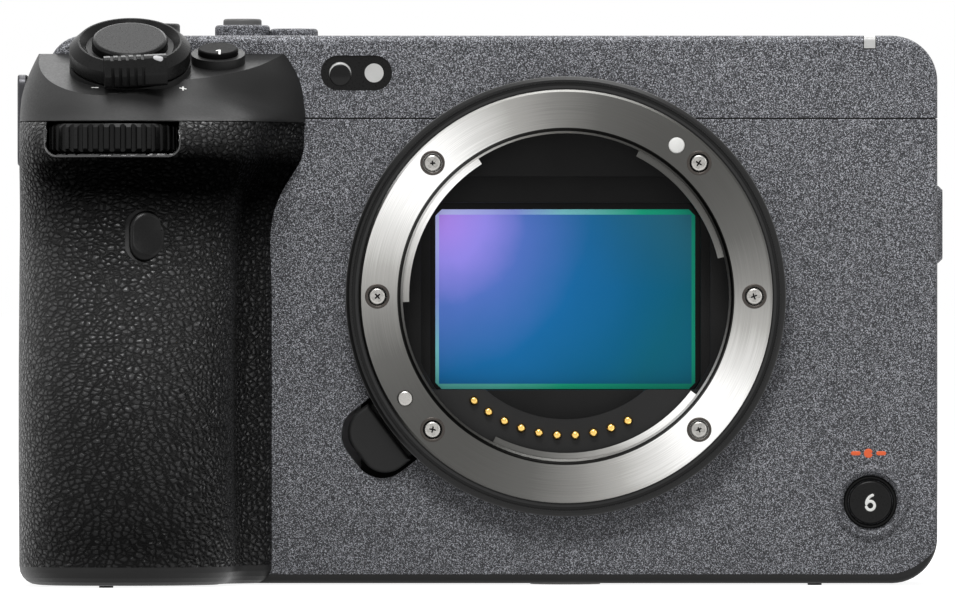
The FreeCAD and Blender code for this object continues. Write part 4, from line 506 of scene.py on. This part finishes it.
def resampled(path, step):
    """Points at equal steps along a path of vectors."""
    total = [0.0]
    for a, b in zip(path, path[1:]):
        total.append(total[-1] + (b - a).length)
    count = max(2, int(round(total[-1] / step)))
    points = []
    j = 0
    for i in range(count + 1):
        reach = total[-1] * i / count
        while j < len(path) - 2 and total[j + 1] < reach:
            j += 1
        span = total[j + 1] - total[j]
        points.append(path[j].lerp(path[j + 1], (reach - total[j]) / span if span > 0 else 0.0))
    return points


# The strip's section: shares of the half width and of the height
PROFILE = ((-1.0, -0.4), (-0.9, 0.6), (-0.6, 1.0), (0.0, 1.1), (0.6, 1.0), (0.9, 0.6), (1.0, -0.4))


def ribbon(node, path, width, height):
    """A low strip with round ends that follows a node's surface; width and height in mm."""
    points = []
    count = len(path)
    half = width / 2 * MM
    for i, point in enumerate(path):
        before = path[max(i - 1, 0)]
        after = path[min(i + 1, count - 1)]
        normal = nearest_on(node, point)[1]
        side = normal.cross((after - before).normalized()).normalized()
        reach = min((point - path[0]).length, (point - path[-1]).length)
        taper = math.sqrt(max(0.02, 1 - max(0.0, 1 - reach / half) ** 2))
        for across, lift in PROFILE:
            spot, facing = nearest_on(node, point + side * across * half * taper)
            points.append(spot + facing * lift * height * MM * taper)
    row = len(PROFILE)
    faces = []
    for start in range(0, (count - 1) * row, row):
        for k in range(start, start + row - 1):
            faces.append((k, k + row, k + row + 1, k + 1))
    faces.append(tuple(range(row)))
    faces.append(tuple(range((count - 1) * row, count * row)))
    return points, faces


def joined(parts):
    """Several pairs of points and faces as one pair."""
    points, faces = [], []
    for part_points, part_faces in parts:
        start = len(points)
        points += part_points
        faces += [tuple(start + i for i in face) for face in part_faces]
    return points, faces


def printed(name, node, centre, strokes, width, look, body, slot_name="lamp_white"):
    """A mark of round-ended strokes, given in mm about a point of the photograph."""
    return marked(name, node, *seen_at(node, *centre), strokes, width, look, body, slot_name)


def marked(name, node, place, normal, strokes, width, look, body, slot_name="lamp_white"):
    """A mark of round-ended strokes, given in mm about a place on a node."""
    right = (Vector((1, 0, 0)) - normal * normal.x).normalized()
    up = right.cross(normal).normalized()
    if up.z < 0:
        up = -up
    parts = []
    for stroke in strokes:
        path = resampled([place + right * u * MM + up * w * MM for u, w in stroke], STROKE_STEP * MM)
        parts.append(ribbon(node, path, width, MARK_HEIGHT))
    points, faces = joined(parts)
    return add_mesh(name, points, faces, look, body, slot_name)


def bow(x, y, radius_x, radius_y, start, end, count=14):
    """Points of an arc; angles in degrees."""
    points = []
    for i in range(count + 1):
        turn = math.radians(start + (end - start) * i / count)
        points.append((x + radius_x * math.cos(turn), y + radius_y * math.sin(turn)))
    return points


def capped(points, sides):
    """Faces between equal rings of points, from the rim to one last point in the middle."""
    faces = []
    last = len(points) - 1 - sides
    for start in range(0, last, sides):
        for k in range(sides):
            j = (k + 1) % sides
            faces.append((start + k, start + j, start + sides + j, start + sides + k))
    for k in range(sides):
        faces.append((last + k, last + (k + 1) % sides, len(points) - 1))
    return faces


def disc_on(name, node, centre, radius, height, look, body, slot_name, dome=0.0, rings=6, sides=40):
    """A round plate or lens on a node, with a rounded edge; mm."""
    place, normal = seen_at(node, *centre)
    right = (Vector((1, 0, 0)) - normal * normal.x).normalized()
    up = normal.cross(right).normalized()
    levels = [(1.0, -0.3), (1.0, 0.55), (0.96, 0.85), (0.88, 1.0)]
    levels += [(0.88 * (1 - (i + 1) / rings), 1.0) for i in range(rings - 1)]
    points = []
    for share, lift in levels:
        rise = lift * height + dome * (1 - share * share)
        for k in range(sides):
            turn = 2 * math.pi * k / sides
            out = right * math.cos(turn) + up * math.sin(turn)
            points.append(place + out * radius * share * MM + normal * rise * MM)
    points.append(place + normal * (height + dome) * MM)
    return add_mesh(name, points, capped(points, sides), look, body, slot_name)


def turned(name, profile, centre, look, body, slot_name, sides=72):
    """A ring turned about the axis Y through a place; its closed profile holds radius and depth in mm."""
    points, faces = [], []
    row = len(profile)
    for k in range(sides):
        turn = 2 * math.pi * k / sides
        for radius, depth in profile:
            points.append(Vector((centre[0] + radius * math.cos(turn), depth,
                                  centre[1] + radius * math.sin(turn))) * MM)
    for k in range(sides):
        here, there = k * row, (k + 1) % sides * row
        for i in range(row):
            n = (i + 1) % row
            faces.append((here + i, here + n, there + n, there + i))
    return add_mesh(name, points, faces, look, body, slot_name)


def pill_on(name, node, centre, half_width, half_height, lift, look, body, slot_name, rings=8, sides=48):
    """An upright rounded window pane that follows the surface under it."""
    points = []
    straight = half_height - half_width
    for i in range(rings + 1):
        share = 1 - i / rings
        rise = lift if i > 0 else lift - 0.5
        for k in range(sides):
            turn = 2 * math.pi * k / sides
            u = half_width * math.cos(turn) * share
            w = (half_width * math.sin(turn) + math.copysign(straight, math.sin(turn))) * share
            spot = (centre[0] + u * PIXELS_PER_MM, centre[1] - w * PIXELS_PER_MM)
            place, normal = seen_at(node, *spot)
            points.append(place + normal * rise * MM)
            if i == rings:
                break
    return add_mesh(name, points, capped(points, sides), look, body, slot_name)


white_print = plain_paint("white_print_look", (0.80, 0.80, 0.78), 0.45)
grey_print = plain_paint("grey_print_look", (0.48, 0.48, 0.49), 0.45)
orange_print = plain_paint("orange_print_look", (0.78, 0.12, 0.03), 0.45)
dark_glass = moulded("dark_glass_look", 0.003, 0.12, 0.5, 0.0, 0.2)
lip_look = moulded("slot_lip_look", 0.010, 0.16, 0.5, 0.0, 0.7)
# Painted shade for the recess round each screw head.
gap_shade_look = satin_metal("screw_gap_shade_look", (0.055, 0.048, 0.043), 0.35, metallic=0.8)

# Marks on the front and on the hood: place in pixels, strokes in mm, width, look, body
six = bow(0.0, -0.50, 0.60, 0.62, 178, -182, 28)
six_stem = [(0.52, 1.02)] + bow(0.62, -0.42, 1.22, 1.44, 98, 176, 14)
bars_and_dot = [[(-2.5, 0), (-1.1, 0)], [(1.1, 0), (2.5, 0)], [(-0.3, 0), (0.3, 0)]]
bars_and_dot.append(bow(0, 0, 0.36, 0.36, 0, 360, 20))
level_bar = [(-0.55, 0), (0.55, 0)]
upright_bar = [(0, -0.55), (0, 0.55)]
front_marks = {
    "record_digit": ("front_record_button", (870.4, 502.1), [six, six_stem], 0.42,
                     white_print, "front_record_button"),
    "record_mark": ("front_cover", (868.5, 453.3), bars_and_dot, 0.62, orange_print, "camera_body"),
    "deck_digit": ("deck_button", (219.0, 52.0), [[(-0.45, 0.50), (0.08, 0.95), (0.08, -0.95)]], 0.34,
                   white_print, "deck_button"),
    "zoom_plus": ("grip_top_cover", (183.0, 88.5), [level_bar, upright_bar], 0.24,
                  white_print, "camera_body"),
    "zoom_minus": ("grip_top_cover", (95.0, 87.5), [level_bar], 0.24, white_print, "camera_body"),
}
for title, values in front_marks.items():
    printed(title, *values)

# Marks on the back: place and strokes in mm
back_marks = {
    "menu_mark": ((-40.6, 60.0), [[(-0.8, i * 0.55), (0.8, i * 0.55)] for i in (-1, 0, 1)]),
    "play_mark": ((-41.6, 14.0), [[(-0.6, 0.7), (0.7, 0), (-0.6, -0.7), (-0.6, 0.7)]]),
    "dot_mark": ((-57.0, 41.2), [bow(0, 0, 0.35, 0.35, 0, 360, 16)]),
}
for title, ((x, z), strokes) in back_marks.items():
    marked(title, "rear_cover", *behind("rear_cover", x, z), strokes, 0.2, white_print, "camera_body")

disc_on("index_dot", "mount_ring", (676.6, 145.4), 1.15, 0.22, white_print, "camera_body", "lamp_white", 0.12)
# A thin dark ring in the recess round the record button.
turned("record_dark_ring", [(3.78, -13.42), (3.74, -13.50), (3.22, -13.50), (3.16, -13.42)], RECORD_AXIS,
       materials["gloss_black"], "camera_body", "gloss_black")

# The mount screws: a dark ring of painted shade round each head, and a dark cross of painted shade on it
gap_shade_profile = [(1.36, -17.97), (1.40, -18.02), (1.72, -18.02), (1.76, -17.97)]
for i, turn in enumerate(SCREW_TURNS):
    x = SCREW_CIRCLE_RADIUS * math.cos(math.radians(turn))
    z = AXIS_Z + SCREW_CIRCLE_RADIUS * math.sin(math.radians(turn))
    turned("screw_gap_shade_%d" % (i + 1), gap_shade_profile, (x, z), gap_shade_look, "camera_body", "dark_metal", 40)
    # Painted shade: a dark cross over the slots in each head.
    cross = []
    for lean in (math.radians(20 + 37 * i), math.radians(110 + 37 * i)):
        u, w = 0.5 * math.cos(lean), 0.5 * math.sin(lean)
        cross.append([(u, w), (-u, -w)])
    head = (AXIS_PX + x * PIXELS_PER_MM, BASE_PY - z * PIXELS_PER_MM)
    printed("screw_slot_shade_%d" % (i + 1), "mount_screws", head, cross, 0.24, materials["matte_black"],
            "camera_body", "matte_black")

printed("lever_pointer", "zoom_lever", (158.5, 58.0), [[(-0.75, 0.2), (0.65, -0.2)]], 0.8,
        grey_print, "zoom_lever")
disc_on("lamp_glass", "lamp_lenses", (340.2, 75.0), 1.5, 0.10, dark_glass, "camera_body", "gloss_black", 0.12)

# The lip round the dial slot, traced in pixels, and the window in the grip
slot_edge = [(45.3, 128), (45.3, 136)] + bow(57.0, 144.0, 11.7, 11.7, 180, 90, 8)
slot_edge += [(57.0 + 10.0 * i, 155.7) for i in range(1, 11)]
slot_edge += bow(167.6, 144.0, 11.7, 11.7, 90, 0, 8) + [(179.3, 136), (179.3, 128)]
slot_path = resampled([seen_at("grip_rubber", *spot)[0] for spot in slot_edge], 0.3 * MM)
add_mesh("dial_slot_lip", *ribbon("grip_rubber", slot_path, 0.42, 0.16), lip_look,
         "camera_body", "gloss_black")
pill_on("remote_window", "grip_shell", (146.6, 236.5), 2.5, 3.6, 0.85, materials["gloss_black"],
        "camera_body", "gloss_black")


# Floor, light and background

FLOOR_SIZE = 300.0
TARGET = Vector((-0.012, -0.02, 0.045))


def seen_directly(tree):
    """One for camera, glossy and transmission rays, which see the white background."""
    path = tree.nodes.new("ShaderNodeLightPath")
    total = path.outputs["Is Camera Ray"]
    for name in ("Is Glossy Ray", "Is Transmission Ray"):
        most = tree.nodes.new("ShaderNodeMath")
        most.operation = "MAXIMUM"
        tree.links.new(total, most.inputs[0])
        tree.links.new(path.outputs[name], most.inputs[1])
        total = most.outputs[0]
    return total


floor_mesh = bpy.data.meshes.new("floor")
floor = bpy.data.objects.new("floor", floor_mesh)
scene.collection.objects.link(floor)
shape = bmesh.new()
bmesh.ops.create_grid(shape, x_segments=1, y_segments=1, size=FLOOR_SIZE)
shape.to_mesh(floor_mesh)
shape.free()

floor_look = Shader("floor_look")
floor_look.set(Roughness=0.9, Specular_IOR_Level=0.0)
floor_look.put((1, 1, 1), "Emission Color")
floor_seen = seen_directly(floor_look.tree)
floor_look.put(floor_look.spread(floor_seen, 0.0, 1.0, 0.0, 0.93), "Emission Strength")
grain = floor_look.noise(40.0, 2.0)
tone = floor_look.ramp(grain, [(0.3, grey_of(0.38)), (0.7, grey_of(0.42))])
floor_mesh.materials.append(floor_look.finish(tone))

world = bpy.data.worlds.new("studio")
scene.world = world
world.use_nodes = True
tree = world.node_tree
for old in list(tree.nodes):
    tree.nodes.remove(old)
chooser = tree.nodes.new("ShaderNodeMixShader")
world_out = tree.nodes.new("ShaderNodeOutputWorld")
tree.links.new(seen_directly(tree), chooser.inputs[0])
for i, strength in enumerate((0.2, 1.0)):
    white = tree.nodes.new("ShaderNodeBackground")
    white.inputs["Color"].default_value = (1, 1, 1, 1)
    white.inputs["Strength"].default_value = strength
    tree.links.new(white.outputs[0], chooser.inputs[i + 1])
tree.links.new(chooser.outputs[0], world_out.inputs[0])


def softbox(name, place, size, power):
    """A white rectangular lamp that looks at the object; metres and watts."""
    data = bpy.data.lights.new(name, "AREA")
    data.shape = "RECTANGLE"
    data.size, data.size_y = size
    data.energy = power
    light = bpy.data.objects.new(name, data)
    scene.collection.objects.link(light)
    light.location = place
    light.rotation_euler = (TARGET - Vector(place)).to_track_quat("-Z", "Y").to_euler()


softbox("key_above", (-0.15, -0.85, 1.15), (0.55, 0.40), 15.0)
softbox("overhead", (0.1, 0.1, 1.2), (0.8, 0.5), 7.0)
softbox("key_right", (1.1, -0.9, 0.45), (0.5, 0.7), 2.2)
softbox("key_left", (-1.2, -0.6, 0.5), (0.4, 0.7), 2.0)
softbox("behind", (0.0, 0.9, 0.8), (0.9, 0.4), 4.0)
